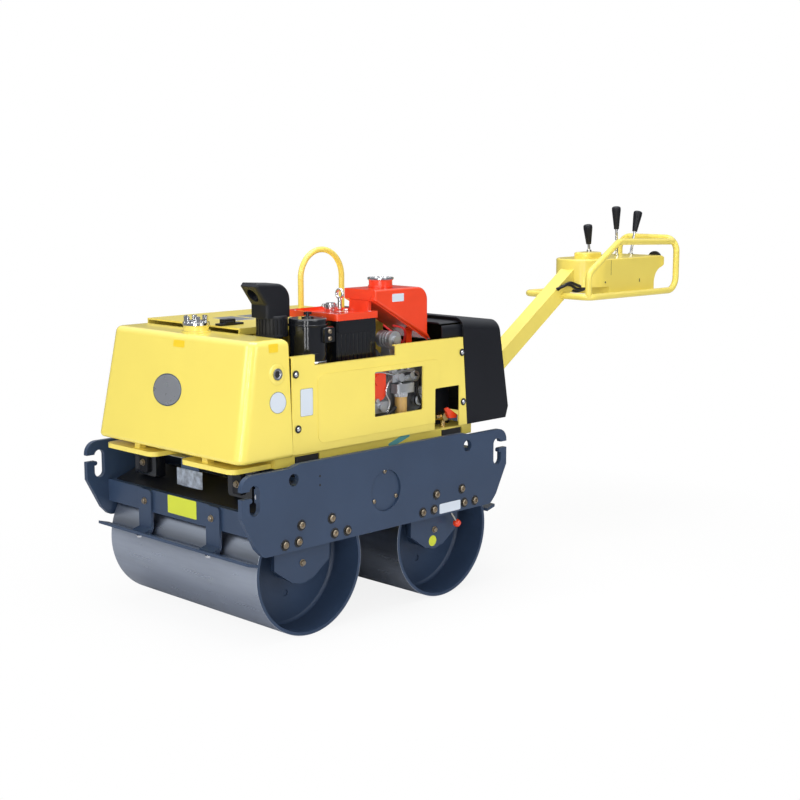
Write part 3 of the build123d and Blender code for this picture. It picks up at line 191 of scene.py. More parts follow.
def tube(path, radius, sides=12):
    """A round tube: path + r (cos a, sin a) in the plane across the path, closed at both ends."""
    along = np.gradient(path, axis=0)
    along /= np.linalg.norm(along, axis=1, keepdims=True)
    lean = np.array([0.31, 0.52, 0.79])
    first = np.cross(along, lean)
    first /= np.linalg.norm(first, axis=1, keepdims=True)
    second = np.cross(along, first)
    angle = np.arange(sides) * 2 * np.pi / sides
    ring = first[:, None] * np.cos(angle)[:, None] + second[:, None] * np.sin(angle)[:, None]
    size = np.full(len(path), radius / 1000)[:, None, None]
    skin = path[:, None] + ring * size
    ends = [np.repeat(path[[i], None], sides, axis=1) for i in (0, -1)]
    points = np.concatenate([ends[0], skin, ends[1]])
    return points, grid_faces(len(path) + 2, sides)


# %% [markdown]
# A blank plate or sticker is a thin slab with rounded corners. Its outline is a superellipse: a power
# of 2 gives an oval, and a high power gives a rectangle with small corners. One formula so serves
# round labels and square plates, with no bevel to apply.


# %% The slab of a plate
def plate(centre, across, up, width, height, thickness, power=9.0, sides=48):
    """Superellipse |x/a|^n + |y/b|^n = 1, raised by the thickness with a small edge radius."""
    across, up = (np.array(v, float) / np.linalg.norm(v) for v in (across, up))
    out = np.cross(across, up)
    angle = np.arange(sides) * 2 * np.pi / sides
    x = np.sign(np.cos(angle)) * np.abs(np.cos(angle)) ** (2 / power) * width / 2
    y = np.sign(np.sin(angle)) * np.abs(np.sin(angle)) ** (2 / power) * height / 2
    inset = min(thickness, 0.1 * min(width, height))
    brow = 1 - inset / max(width, height)
    rows = [(0.0, 0.0), (1.0, 0.0), (1.0, 0.6 * thickness), (brow, thickness), (0.0, thickness)]
    share, rise = (np.array(r)[:, None] for r in zip(*rows))
    flat = (share * x)[..., None] * across + (share * y)[..., None] * up + rise[..., None] * out
    return at(*centre) + flat / 1000, grid_faces(len(rows), sides)


# %% [markdown]
# ## Finishes
# Each finish reads Object coordinates, so its pattern stays put when a piece moves. A Bevel node
# rounds the shading of the sharp edges by a millimetre or two, as paint does on a real edge.


# %% Node helper
def node(tree, kind, inputs=None, **settings):
    """Adds a shader node and fills its inputs with values or with links from other nodes' outputs."""
    made = tree.nodes.new("ShaderNode" + kind)
    for key, value in settings.items():
        setattr(made, key, value)
    for socket, value in (inputs or {}).items():
        if isinstance(value, bpy.types.NodeSocket):
            tree.links.new(value, made.inputs[socket])
        else:
            made.inputs[socket].default_value = value
    return made


def noise(tree, where, scale, detail=3.0, stretch=(1, 1, 1)):
    """A noise pattern from 0 to 1 at the given scale, squeezed along the axes by stretch."""
    placed = node(tree, "Mapping", {"Vector": where, "Scale": stretch})
    made = node(tree, "TexNoise", {"Vector": placed.outputs[0], "Scale": scale, "Detail": detail})
    return made.outputs["Fac"]


def spread(tree, value, low, high, start=0.3, end=0.7):
    """Maps start..end of a pattern to low..high."""
    inputs = {"Value": value, "From Min": start, "From Max": end, "To Min": low, "To Max": high}
    return node(tree, "MapRange", inputs).outputs[0]


def blend(tree, share, first, second):
    """Mixes two colours or colour outputs by a share from 0 to 1."""
    mix = node(tree, "Mix", data_type="RGBA")
    for socket, value in ((0, share), (6, first), (7, second)):
        if isinstance(value, bpy.types.NodeSocket):
            tree.links.new(value, mix.inputs[socket])
        else:
            mix.inputs[socket].default_value = value
    return mix.outputs[2]


def shade(colour, factor):
    """A colour made darker or lighter, with its alpha."""
    return (*(min(1.0, c * factor) for c in colour), 1.0)


# %% [markdown]
# One recipe serves most finishes: a base colour that drifts a few percent, a roughness that varies
# with a second pattern, and a fine bump for orange peel, moulding grain or casting grit.


# %% The common recipe
def surface(
    name, colour, rough, metal=0.0, coat=0.0, drift=0.05, grain=(900.0, 0.02), edge=1.2, patch=7.0, shine=0.5
):
    """A finish whose colour and roughness drift in patches, with a grain bump and rounded edges.

    Grain holds the bump's scale and strength, edge is a radius in millimetres, and a higher patch
    makes smaller patches.
    """
    made = bpy.data.materials.new(name)
    made.use_nodes = True
    tree = made.node_tree
    shader = tree.nodes["Principled BSDF"]
    where = node(tree, "TexCoord").outputs["Object"]
    cloud = spread(tree, noise(tree, where, patch), 0.0, 1.0)
    base = blend(tree, cloud, shade(colour, 1 - drift), shade(colour, 1 + drift))
    tree.links.new(base, shader.inputs["Base Color"])
    worn = noise(tree, where, patch * 5, 4.0)
    tree.links.new(spread(tree, worn, rough * 0.96, min(1.0, rough * 1.05)), shader.inputs["Roughness"])
    rounded = node(tree, "Bevel", {"Radius": edge / 1000}, samples=4).outputs[0]
    grit_scale, grit_strength = grain
    grit = noise(tree, where, grit_scale, 2.0)
    bump_inputs = {"Height": grit, "Strength": grit_strength, "Distance": 0.001, "Normal": rounded}
    tree.links.new(node(tree, "Bump", bump_inputs).outputs[0], shader.inputs["Normal"])
    shader.inputs["Metallic"].default_value = metal
    shader.inputs["Specular IOR Level"].default_value = shine
    shader.inputs["Coat Weight"].default_value = coat
    shader.inputs["Coat Roughness"].default_value = 0.08
    return made


lemon = surface("lemon_enamel", (0.92, 0.75, 0.14), 0.32, coat=0.4, drift=0.02, grain=(1200.0, 0.02))
moulded_lemon = surface(
    "moulded_lemon", (0.92, 0.755, 0.145), 0.26, coat=0.6, drift=0.01, grain=(1400.0, 0.02), edge=3.0
)
slate = surface(
    "slate_enamel", (0.032, 0.056, 0.108), 0.4, coat=0.12, drift=0.06, grain=(700.0, 0.05), shine=0.4
)
vermilion = surface(
    "vermilion_enamel", (0.88, 0.055, 0.01), 0.26, coat=0.5, drift=0.06, grain=(500.0, 0.03)
)
black_enamel = surface(
    "black_enamel", (0.006, 0.007, 0.01), 0.18, coat=0.5, drift=0.2, grain=(400.0, 0.03), shine=0.4
)
black_moulding = surface(
    "black_moulding", (0.007, 0.008, 0.012), 0.4, drift=0.12, grain=(1500.0, 0.1), edge=2.5, shine=0.35
)
rubber = surface("block_rubber", (0.018, 0.018, 0.019), 0.7, drift=0.2, grain=(900.0, 0.15), edge=2.0)
plated = surface(
    "bright_plate", (0.78, 0.79, 0.81), 0.14, metal=1.0, drift=0.03, grain=(300.0, 0.01), edge=0.6
)
cast_grey = surface(
    "cast_grey", (0.16, 0.17, 0.18), 0.55, metal=0.6, drift=0.25, grain=(650.0, 0.5), patch=16.0
)
cast_alloy = surface(
    "cast_alloy", (0.56, 0.58, 0.61), 0.38, metal=0.85, drift=0.2, grain=(800.0, 0.4), patch=18.0
)
passivated = surface(
    "passivated_zinc", (0.4, 0.33, 0.24), 0.32, metal=1.0,
    drift=0.25, grain=(700.0, 0.1), edge=0.5, patch=60.0,
)
brass = surface(
    "valve_brass", (0.7, 0.5, 0.2), 0.26, metal=1.0, drift=0.15, grain=(900.0, 0.1), edge=0.6, patch=30.0
)
white_film = surface("white_film", (0.66, 0.72, 0.8), 0.35, coat=0.2, drift=0.02, edge=0.3)
silver_film = surface("silver_film", (0.5, 0.52, 0.56), 0.28, metal=0.7, coat=0.4, drift=0.05, edge=0.3)
signal_film = surface("signal_film", (0.66, 0.72, 0.03), 0.35, coat=0.2, drift=0.03, edge=0.3)
spangle = surface(
    "spangled_zinc", (0.5, 0.55, 0.62), 0.3, metal=0.8, drift=0.4, grain=(500.0, 0.2), edge=0.4, patch=55.0
)
amber_film = surface("amber_film", (0.9, 0.62, 0.02), 0.35, coat=0.2, drift=0.03, edge=0.3)
cable_red = surface("cable_red", (0.72, 0.02, 0.02), 0.38, coat=0.2, drift=0.05, edge=0.3)
strap_green = surface("strap_green", (0.12, 0.4, 0.42), 0.6, drift=0.1, grain=(1200.0, 0.3), edge=0.3)
paper = surface(
    "filter_paper", (0.55, 0.34, 0.1), 0.32, coat=0.7, drift=0.12, grain=(300.0, 0.2), edge=0.5, patch=40.0
)

# %% [markdown]
# ### The drums
# The rolling face of a drum is bare steel with streaks along it, and everything inside the shell is
# painted. Two materials would need the shell's faces sorted by hand. One material does both: the
# distance from the axle chooses between steel and paint.


# %% Bare steel outside, slate paint inside
def drum_finish(name, axle_x):
    """Steel where the distance from the axle reaches the rolling face; slate paint inside it."""
    made = slate.copy()
    made.name = name
    tree = made.node_tree
    shader = tree.nodes["Principled BSDF"]
    where = node(tree, "TexCoord").outputs["Object"]
    centred = {"Vector": where, "Location": (-axle_x, 0, -drum_radius / 1000), "Scale": (1, 0, 1)}
    flat = node(tree, "Mapping", centred)
    reach = node(tree, "VectorMath", {0: flat.outputs[0]}, operation="LENGTH").outputs["Value"]
    paint_ends, steel_starts = drum_radius - 1.4, drum_radius - 0.7
    bare = spread(tree, reach, 0.0, 1.0, paint_ends / 1000, steel_starts / 1000)
    streak = noise(tree, where, 5.0, 4.0, (1.2, 0.3, 1.2))
    scratch = noise(tree, where, 70.0, 3.0, (1.4, 0.1, 1.4))
    cool, dark, bright = (0.55, 0.6, 0.69, 1.0), (0.36, 0.39, 0.45, 1.0), (0.7, 0.74, 0.8, 1.0)
    steel = blend(tree, spread(tree, streak, 0.0, 0.8, 0.4, 0.75), cool, dark)
    steel = blend(tree, spread(tree, scratch, 0.0, 0.2, 0.4, 0.8), steel, bright)
    painted = shader.inputs["Base Color"].links[0].from_socket
    tree.links.new(blend(tree, bare, painted, steel), shader.inputs["Base Color"])
    tree.links.new(bare, shader.inputs["Metallic"])
    dull = shader.inputs["Roughness"].links[0].from_socket
    steel_dull = spread(tree, scratch, 0.27, 0.31)
    mixed = node(tree, "MapRange", {"Value": bare, "To Min": dull, "To Max": steel_dull}).outputs[0]
    tree.links.new(mixed, shader.inputs["Roughness"])
    shader.inputs["Coat Weight"].default_value = 0.0
    tree.nodes["Bump"].inputs["Strength"].default_value *= 0.25
    return made


# %% [markdown]
# The brake lever is a plated rod that ends in a red ball. The distance from the ball's centre tells
# one from the other, as the distance from the axle did on the drums.


# %% Plated rod, red ball
def brake_finish(ball_centre, ball_radius):
    """Red within the ball's radius of its centre, plated steel beyond: a step in the distance."""
    made = vermilion.copy()
    made.name = "brake_ball_and_rod"
    tree = made.node_tree
    shader = tree.nodes["Principled BSDF"]
    where = node(tree, "TexCoord").outputs["Object"]
    inputs = {0: where, 1: tuple(at(*ball_centre))}
    away = node(tree, "VectorMath", inputs, operation="DISTANCE").outputs["Value"]
    ball_ends, rod_starts = ball_radius + 0.4, ball_radius + 0.9
    rod = spread(tree, away, 0.0, 1.0, ball_ends / 1000, rod_starts / 1000)
    red = shader.inputs["Base Color"].links[0].from_socket
    tree.links.new(blend(tree, rod, red, (0.6, 0.58, 0.5, 1.0)), shader.inputs["Base Color"])
    tree.links.new(rod, shader.inputs["Metallic"])
    return made


# %% [markdown]
# ### Dressing the model's own pieces
# Each node of the model keeps its mesh and gets the finish of the real piece. A table from finish to
# names is shorter than one line a piece and shows at a glance which pieces share a paint.

# %% Finish of every node
special = {
    "front_drum": drum_finish("front_drum_steel", axles["front_roll"][0]),
    "rear_drum": drum_finish("rear_drum_steel", axles["rear_roll"][0]),
    "brake_lever": brake_finish(ball_centre=(-346, 349, 221), ball_radius=13),
}
families = {
    slate: "side_plate_left side_plate_right front_apron rear_apron front_scraper rear_scraper"
    " front_bracket_left front_bracket_right rear_bracket_left rear_bracket_right exciter_housing"
    " round_covers mount_shelves mast_bracket",
    rubber: "rubber_mounts",
    lemon: "upper_frame side_panel_left side_panel_right side_deck lifting_hoop mast handle_ring"
    " handle_guard console console_lid",
    moulded_lemon: "water_tank",
    vermilion: "radiator_lid fuel_tank gear_cover valve_handle",
    black_enamel: "radiator air_cleaner",
    black_moulding: "rear_cover pre_cleaner stop_button control_levers deck_latch",
    plated: "tank_cap tank_port radiator_cap eyebolt fuel_cap lever_rods",
    cast_grey: "engine_block flywheel engine_head valve_cover",
    cast_alloy: "fuel_filter alternator injection_pump oil_pump start_pulley",
    paper: "filter_bowl",
    brass: "drain_valve",
}
dressed = dict(special)
for finish, names in families.items():
    dressed.update({name: finish for name in names.split()})
for name, obj in frame["nodes"].items():
    if not obj.material_slots:
        obj.data.materials.append(dressed[name])
    for material_slot in obj.material_slots:
        material_slot.material = dressed[name]
print("finishes:", len(families) + len(special))

# %% [markdown]
# ## Screws
# The drum brackets hang on socket-head screws in black rings. One head is turned from a profile: up the
# side, over the rounded rim, and down into a six-sided socket. Twenty-four linked objects would do, but
# one array of copies is a single object that rides on the chassis in one call.

# %% Socket-head screws and button heads
plate_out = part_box("side_plate_left")[1].y * 1000
socket_head = turned(
    [(0, 0), (9.5, 0), (10, 1), (10, 5), (9, 6.4), (8, 7), (-5, 7), (-5, 3.2), (0, 2.8)], 36, corners=6
)
ring_seat = turned([(0, 0), (16, 0), (16, 0.8), (15.2, 1.5), (11.4, 1.5), (11, 0.5), (0, 0.5)], 36)
hex_head = turned(
    [(0, 0), (10.5, 0), (10.5, 1.6), (9.8, 2), (-8.4, 2), (-8.4, 6.4), (-7.4, 7.4), (0, 7.6)], 36, corners=6
)
button_head = turned(
    [(0, 0), (7, 0), (7, 1), (6.4, 2.8), (4.6, 4), (-2.6, 4.4), (-2.6, 2), (0, 1.8)], 36, corners=6
)
panel_cup = turned([(0, 0), (11.5, 0), (11.5, 0.8), (10.4, 1.8), (9.6, 1.0), (0, 0.9)], 36)

screw_places = []
for side in (1, -1):
    for end in (1, -1):
        for x, z in ((-119, 291), (119, 291), (-69, 292), (69, 292), (-58, 338), (58, 338)):
            screw_places.append(((end * axle_reach + x, side * plate_out, z), (0, side, 0)))
mesh_object("bracket_screw_rings", *copies(ring_seat, screw_places), black_enamel, "chassis", "black_paint")
mesh_object("bracket_screws", *copies(socket_head, screw_places), passivated, "chassis", "brass")

cover_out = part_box("round_covers")[1].y * 1000
cover_places = [
    ((side * x, side * cover_out, z), (0, side, 0))
    for side in (1, -1)
    for x, z in ((0, 442), (-47, 361), (44, 357))
]
mesh_object("cover_screws", *copies(button_head, cover_places), passivated, "chassis", "brass")

panel_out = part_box("side_panel_left")[1].y * 1000
panel_places = [
    ((x, side * panel_out, z), (0, side, 0))
    for side in (1, -1)
    for x, z in ((315, 759), (308, 603), (-376, 761), (-383, 604))
]
mesh_object("panel_screw_cups", *copies(panel_cup, panel_places), rubber, "chassis", "black_rubber")
mesh_object("panel_screws", *copies(button_head, panel_places), plated, "chassis", "chrome")
print("screws:", len(screw_places) + len(cover_places) + len(panel_places))

# %% [markdown]
# ## Blank plates and stickers
# Thin plates and stickers lie on the tank, the panel, the apron and the brackets, and all are blank.
# A line is sent towards the machine from outside, and the plate is laid where the line meets a piece,
# square to the surface there.

# %% Where a straight line meets a piece
def touch(name, start, direction):
    """Where a line first meets a piece of the model: the place in measured millimetres and the normal."""
    piece = frame["nodes"][name]
    corners = [piece.matrix_world @ vertex.co for vertex in piece.data.vertices]
    skin = BVHTree.FromPolygons(corners, [tuple(face.vertices) for face in piece.data.polygons])
    spot, normal, _, _ = skin.ray_cast(Vector(at(*start)), Vector(direction))
    if spot is None:
        raise ValueError("no surface of " + name + " on that line")
    return (np.array(spot) - at(0, 0, 0)) * 1000, np.array(normal)


def sticker(
    name, piece, start, direction, size, finish, slot, power=9.0, thickness=0.5, body="chassis", rim=0.0
):
    """A blank slab laid on a piece where a line meets it, as wide and high as size, on a darker rim."""
    spot, normal = touch(piece, start, direction)
    upright = np.array([0.0, 0.0, 1.0]) if abs(normal[2]) < 0.9 else np.array([1.0, 0.0, 0.0])
    across = np.cross(upright, normal)
    across /= np.linalg.norm(across)
    up = np.cross(normal, across)
    if rim:
        border = plate(spot, across, up, size[0] + 2 * rim, size[1] + 2 * rim, thickness * 0.7, power)
        mesh_object(name + "_rim", *border, slate, body, "frame_paint")
    return mesh_object(name, *plate(spot, across, up, *size, thickness, power), finish, body, slot)


# %% Plates, labels, and small holes as black discs of painted shade
sticker(
    "sign_plate", "front_apron", (700, 11, 353), backward, (137, 54), signal_film, "yellow_paint", 30.0, 1.0
)
sticker(
    "panel_plate", "side_panel_left", (274, 600, 676),
    rightward, (46, 77), white_film, "chrome", 14.0, rim=0.8,
)
sticker(
    "side_plate_label", "side_plate_left", (-281, 600, 289), rightward, (96, 31), white_film, "chrome", 14.0
)
sticker(
    "tank_round_label", "water_tank", (378, 600, 686),
    rightward, (58, 58), white_film, "chrome", 2.0, rim=1.2,
)
sticker(
    "tank_badge", "water_tank", (800, -18, 698), backward,
    (128, 88), silver_film, "chrome", 2.0, 1.4, rim=3.0,
)
sticker(
    "tank_corner_sticker", "water_tank", (386, 600, 838),
    rightward, (34, 24), amber_film, "yellow_paint", 14.0,
)
sticker(
    "tank_front_sticker", "water_tank", (800, 10, 832), backward, (52, 20), amber_film, "yellow_paint", 14.0
)
sticker("fuel_sticker", "fuel_tank", (-141, 600, 944), rightward, (50, 24), white_film, "chrome", 14.0)
sticker(
    "bracket_sticker", "rear_bracket_left", (-269, 600, 171),
    rightward, (34, 34), signal_film, "yellow_paint", 2.0,
)
# Black discs stand in for the shaded inside of the port's opening and of two small holes in the side plate:
# painted shade.
sticker("tank_port_hole_shade", "tank_port", (377, 600, 765), rightward, (19, 19), rubber, "black_rubber", 2.0)
for step, height in enumerate((468, 442)):
    start = (263, 600, height)
    sticker(
        "plate_hole_shade_" + str(step + 1), "side_plate_left",
        start, rightward, (7, 7), rubber, "black_rubber", 2.0,
    )
port_wall, port_normal = touch("water_tank", (377, 600, 742), rightward)
port_rise = 23
port_wall = port_wall + np.array([0, 0, port_rise]) - port_normal * port_rise * port_normal[2]
collar = turned([(17, -1), (17, 3), (21, 3.4), (29, 0.6), (30, -1), (17, -1)], 48)
mesh_object(
    "tank_port_collar", *copies(collar, [(port_wall, port_normal)]),
    moulded_lemon, "chassis", "yellow_plastic",
)
strap_along, strap_across = (-82, 0, 26), (26, 0, 82)
strap = plate((-113, 322, 515), strap_along, strap_across, 92, 17, 1.6, 14.0)
mesh_object("rail_strap", *strap, strap_green, "chassis", "black_rubber")

# %% [markdown]
# ## Bolts of the aprons, the blades and the brackets
# The scraper's two arms hang on one bolt each, and two bright ones hold its blade from below. Each
# bracket inside a drum shows one bolt below the side plate, and five hold the radiator's lid. A line
# sent at the scraper or the bracket finds the seat of its bolts, so they stay on it if it moves.

# %% Bolts
arm_face = touch("front_scraper", (700, 163, 330), backward)[0][0]
apron_places = [((end * arm_face, y, 345), (end, 0, 0)) for end in (1, -1) for y in (-163, 158)]
mesh_object("arm_bolts", *copies(hex_head, apron_places), passivated, "chassis", "brass")
under = [touch("front_scraper", (504, y, 100), upward)[0] for y in (-160, 172)]
blade_places = [((end * spot[0], spot[1], spot[2]), downward) for end in (1, -1) for spot in under]
mesh_object("blade_bolts", *copies(hex_head, blade_places), plated, "chassis", "chrome")
low_bolt_x, low_bolt_z = 277, 206
low_bolt_face = touch("front_bracket_left", (low_bolt_x, 600, low_bolt_z), rightward)[0][1]
low_bolt_places = [
    ((end * low_bolt_x, side * low_bolt_face, low_bolt_z), (0, side, 0))
    for side in (1, -1)
    for end in (1, -1)
]
mesh_object("bracket_low_bolts", *copies(hex_head, low_bolt_places), passivated, "chassis", "brass")
lid_top = 902
lid_places = [((x, y, lid_top), upward) for x in (-44, 96) for y in (84, 272)]
lid_places.append(((-32, 176, lid_top), upward))
mesh_object("radiator_lid_bolts", *copies(hex_head, lid_places), plated, "chassis", "chrome")
print("bolts:", len(apron_places) + len(blade_places) + len(low_bolt_places) + len(lid_places))

# %% [markdown]
# ## Small engine pieces
# A white ring faces the starting pulley, two bands hold the air cleaner, and a box with two screws
# stands on its side. Two grey pads lie on the deck. Cast bosses and a dark shield stand behind the
# windows of the panel. All are thin or turned, so the two helpers from above make every one.

# %% Rings, bands and pads
ring_face = turned([(11, -1), (11, 1.6), (12, 2.2), (16, 2.2), (17, 1.4), (17, -1), (11, -1)], 48)
hub_face = turned([(0, -1), (10, -1), (10, 1.2), (9, 2), (4, 2), (3, 3.4), (0, 3.6)], 36)
pulley_disc = turned([(0, 0), (19, 0), (19, 4), (18, 5), (0, 5)], 48)
pulley_spot = (-219, 300, 625)
pulley_front = (-219, 305, 625)
mesh_object(
    "pulley_disc", *copies(pulley_disc, [(pulley_spot, leftward)]),
    black_moulding, "chassis", "black_plastic",
)
mesh_object("pulley_ring", *copies(ring_face, [(pulley_front, leftward)]), white_film, "chassis", "alloy")
mesh_object("pulley_hub", *copies(hub_face, [(pulley_front, leftward)]), cast_alloy, "chassis", "alloy")
band = turned([(54, -5), (56.4, -5), (57, -4), (57, 4), (56.4, 5), (54, 5), (54, -5)], 72)
rim = turned([(55, -2.5), (57.2, -2.5), (58, -1.4), (58, 1.4), (57.2, 2.5), (55, 2.5), (55, -2.5)], 72)
cleaner_axis = (187, 248)
mesh_object("cleaner_band", *copies(band, [((*cleaner_axis, 776), upward)]), plated, "chassis", "chrome")
mesh_object(
    "cleaner_rim", *copies(rim, [((*cleaner_axis, 884), upward)]), black_enamel, "chassis", "black_paint"
)
box = plate((160, 296, 856), backward, upward, 44, 46, 16, 12.0)
mesh_object("cleaner_box", *box, black_enamel, "chassis", "black_paint")
box_screw = [((160, 312, z), leftward) for z in (866, 846)]
mesh_object("cleaner_box_screws", *copies(button_head, box_screw), passivated, "chassis", "brass")
shield = plate((-348, 262, 602), backward, upward, 100, 150, 2.0, 60.0)
mesh_object("valve_shield", *shield, black_moulding, "chassis", "black_plastic")
pads = [plate((x, -128, 872), leftward, backward, 118, 76, 1.0, 40.0) for x in (156, 62)]
mesh_object("deck_pads", *joined(pads), silver_film, "chassis", "chrome")
castings = [
    ((-106, 280, 726), 15),
    ((-206, 280, 700), 19),
    ((-163, 294, 700), 11),
    ((-232, 280, 652), 14),
    ((-40, 280, 640), 16),
    ((20, 280, 655), 13),
]
knuckle, knuckle_faces = turned(
    [(0, 0), (1, 0), (1, 0.5), (0.86, 0.7), (0.86, 1.2), (-0.5, 1.2), (-0.5, 1.6), (0, 1.66)], 36, corners=6
)
shapes = [copies((knuckle * size, knuckle_faces), [(place, leftward)]) for place, size in castings]
mesh_object("engine_castings", *joined(shapes), cast_alloy, "chassis", "alloy")

# %% [markdown]
# ## Weld beads inside the drums
# Each dished end is welded to its shell. The bead is a small fillet turned about the axle, and it rides
# on its drum. A bump in the paint would not catch the light at the rim as a real fillet does.

# %% Beads
dish = touch("front_drum", (277, 600, 30), rightward)[0][1]
bead = turned([(182, -1), (185, 2), (187.5, 4), (190.2, 8.5), (190.2, -1), (182, -1)], 128)
for end, roll in ((1, "front_roll"), (-1, "rear_roll")):
    beads = [((end * axle_reach, side * dish, drum_radius), (0, side, 0)) for side in (1, -1)]
    mesh_object(roll + "_beads", *copies(bead, beads), slate, roll, "frame_paint")

# %% [markdown]
# ## Under the front of the tank
# Two black buffer blocks hang from the upper frame, a dark sheet over the drum is painted shade where the
# tank shadows the drum's top, and a galvanised plate stands in the middle. They are flat pieces with rounded
# corners, so each is one slab.

# %% Buffers, sheet of painted shade and galvanised plate
blocks = [plate((398, y, 450), leftward, upward, 116, 92, 32, 12.0) for y in (-226, 226)]
mesh_object("buffer_blocks", *joined(blocks), black_enamel, "chassis", "black_paint")
cheeks = [plate((430, y, 448), leftward, upward, 42, 62, 10, 8.0) for y in (-224, 224)]
mesh_object("buffer_cheeks", *joined(cheeks), black_moulding, "chassis", "black_plastic")
buffer_places = [((440, y, 448), forward) for y in (-224, 224)]
mesh_object("buffer_bolts", *copies(hex_head, buffer_places), passivated, "chassis", "brass")
# The dark sheet is painted shade: it darkens the drum's top where that lies in the tank's shadow.
sheet_slope = (-0.94, 0, 0.33)
sheet = plate((395, 0, 402), leftward, sheet_slope, 690, 130, 2.0, 60.0)
mesh_object("drum_shade_sheet", *sheet, black_moulding, "chassis", "black_plastic")
post = plate((434, 5, 450), leftward, upward, 84, 94, 4.0, 40.0)
mesh_object("plate_post", *post, slate, "chassis", "frame_paint")
zinc = plate((438, 5, 432), leftward, upward, 121, 52, 2.0, 40.0)
tray = plate((428, -54, 494), leftward, backward, 98, 62, 2.0, 30.0)
mesh_object("galvanised_plates", *joined([zinc, tray]), spangle, "chassis", "chrome")
corner = plate((450, 345, 434), leftward, upward, 38, 44, 12.0, 14.0)
mesh_object("hook_block", *corner, slate, "chassis", "frame_paint")
mesh_object("hook_bolt", *copies(hex_head, [((462, 345, 434), forward)]), plated, "chassis", "chrome")

# %% [markdown]
# ## The console's small things
# The grips end in domes, and the console has a seam, a slot and a screw on its left face. All of them
# ride on the handle, so they tilt with the mast.

# %% Grip domes, seam and slot
dome = turned([(0, -2), (16.6, -2), (17, 0), (16.4, 3), (13.6, 6), (8, 7.8), (0, 8.4)], 32)
# Each grip: the rod's foot and neck as (x, z), then the grip's length above the neck.
grips = [
    ((-1464, 1024), (-1461, 1050), 67),
    ((-1640, 1002), (-1635, 1101), 80),
    ((-1732, 1002), (-1755, 1089), 74),
]
dome_places = []
for foot, neck, length in grips:
    rise = np.array([neck[0] - foot[0], 0.0, neck[1] - foot[1]])
    rise /= np.linalg.norm(rise)
    dome_places.append((np.array([neck[0], 0.0, neck[1]]) + rise * length, rise))
mesh_object("grip_domes", *copies(dome, dome_places), black_moulding, "handle", "black_plastic")
sticker(
    "console_seam", "console", (-1464, 600, 965), rightward,
    (1.6, 56), rubber, "black_rubber", 40.0, 0.3, "handle",
)
# The slot is a thin black slab: painted shade of its recess, which is not cut.
sticker(
    "console_slot_shade", "console", (-1647, 600, 909), rightward,
    (5, 14), rubber, "black_rubber", 3.0, 0.3, "handle",
)
sticker(
    "console_screw", "console", (-1430, 600, 912), rightward,
    (7, 7), rubber, "black_rubber", 2.0, 0.8, "handle",
)

# %% [markdown]
# ## Cables, hoses and straps
# The battery cables are red and the console's are black. Black hoses, a green one and plated pipes join
# the engine's pieces. Curve objects could be bent to shape by hand; a short list of points and the tube
# helper gives the same line and keeps each route readable.

# %% Cables and hoses
hoses = [
    ("battery_cable", 3.2, cable_red, "red_paint", [
        (-105, 262, 862), (-112, 272, 853), (-135, 276, 836), (-157, 274, 820), (-184, 262, 806),
        (-196, 246, 780),
    ]),
    ("battery_cable_short", 3.2, cable_red, "red_paint", [
        (-140, 268, 858), (-178, 272, 848), (-196, 266, 830), (-204, 250, 800),
    ]),
    ("fuel_hose", 4.5, black_moulding, "black_plastic", [
        (-141, 306, 684), (-140, 309, 706), (-168, 307, 712), (-196, 308, 706), (-222, 303, 690),
        (-236, 292, 668),
    ]),
    ("injector_pipe", 3.0, plated, "chrome", [
        (-128, 300, 706), (-96, 306, 716), (-40, 308, 728), (40, 304, 724), (96, 290, 726),
    ]),
    ("drain_hose", 7.5, strap_green, "black_rubber", [
        (-285, 300, 560), (-268, 302, 556), (-240, 304, 548), (-214, 300, 536), (-196, 288, 530),
    ]),
    ("coolant_hose", 11.0, rubber, "black_rubber", [
        (62, 296, 730), (74, 300, 706), (70, 302, 668), (48, 300, 640), (20, 296, 616),
    ]),
    ("vent_hose", 5.0, rubber, "black_rubber", [
        (-232, 292, 700), (-214, 303, 676), (-206, 306, 652), (-228, 306, 606), (-210, 300, 586),
    ]),
    ("leak_pipe", 2.4, plated, "chrome", [
        (-108, 300, 700), (-84, 305, 690), (-74, 306, 660), (-90, 305, 630), (-84, 300, 600),
    ]),
    ("radiator_hose", 10.0, rubber, "black_rubber", [
        (-56, 250, 790), (-70, 262, 782), (-74, 266, 766), (-64, 262, 748),
    ]),
    ("return_hose", 5.5, rubber, "black_rubber", [
        (-120, 300, 612), (-84, 304, 596), (-40, 306, 590), (10, 304, 600), (44, 300, 606),
    ]),
]
for name, radius, finish, slot, points in hoses:
    mesh_object(name, *tube(smooth_path(points), radius), finish, "chassis", slot)

console_cables = [
    [
        (-1232, 30, 893), (-1251, 46, 903), (-1286, 52, 915),
        (-1330, 52, 903), (-1372, 50, 893), (-1395, 46, 899),
    ],
    [
        (-1240, 24, 886), (-1262, 34, 902), (-1300, 38, 906),
        (-1350, 36, 888), (-1400, 34, 888), (-1432, 32, 897),
    ],
    [
        (-1236, 14, 886), (-1270, 20, 898), (-1310, 22, 892),
        (-1360, 20, 878), (-1410, 18, 882), (-1440, 20, 892),
    ],
]
cable_radius = 5.5
shapes = [tube(smooth_path(points), cable_radius) for points in console_cables]
mesh_object("console_cables", *joined(shapes), black_moulding, "handle", "black_plastic")
print("hoses and cables:", len(hoses) + len(console_cables))

# %% [markdown]
# ## Floor, light and camera
# The floor glows white where the camera looks past the machine and keeps a faint shadow under it.
# The camera's place, turn and lens were worked out from the machine's own vanishing lines.

# %% Floor
def seen_directly(tree, rays):
    """1 for rays that come from the camera, straight or through glass, and 0 for the others."""
    share = {0: rays.outputs["Is Camera Ray"], 1: rays.outputs["Is Transmission Ray"]}
    return node(tree, "Math", share, operation="MAXIMUM").outputs[0]


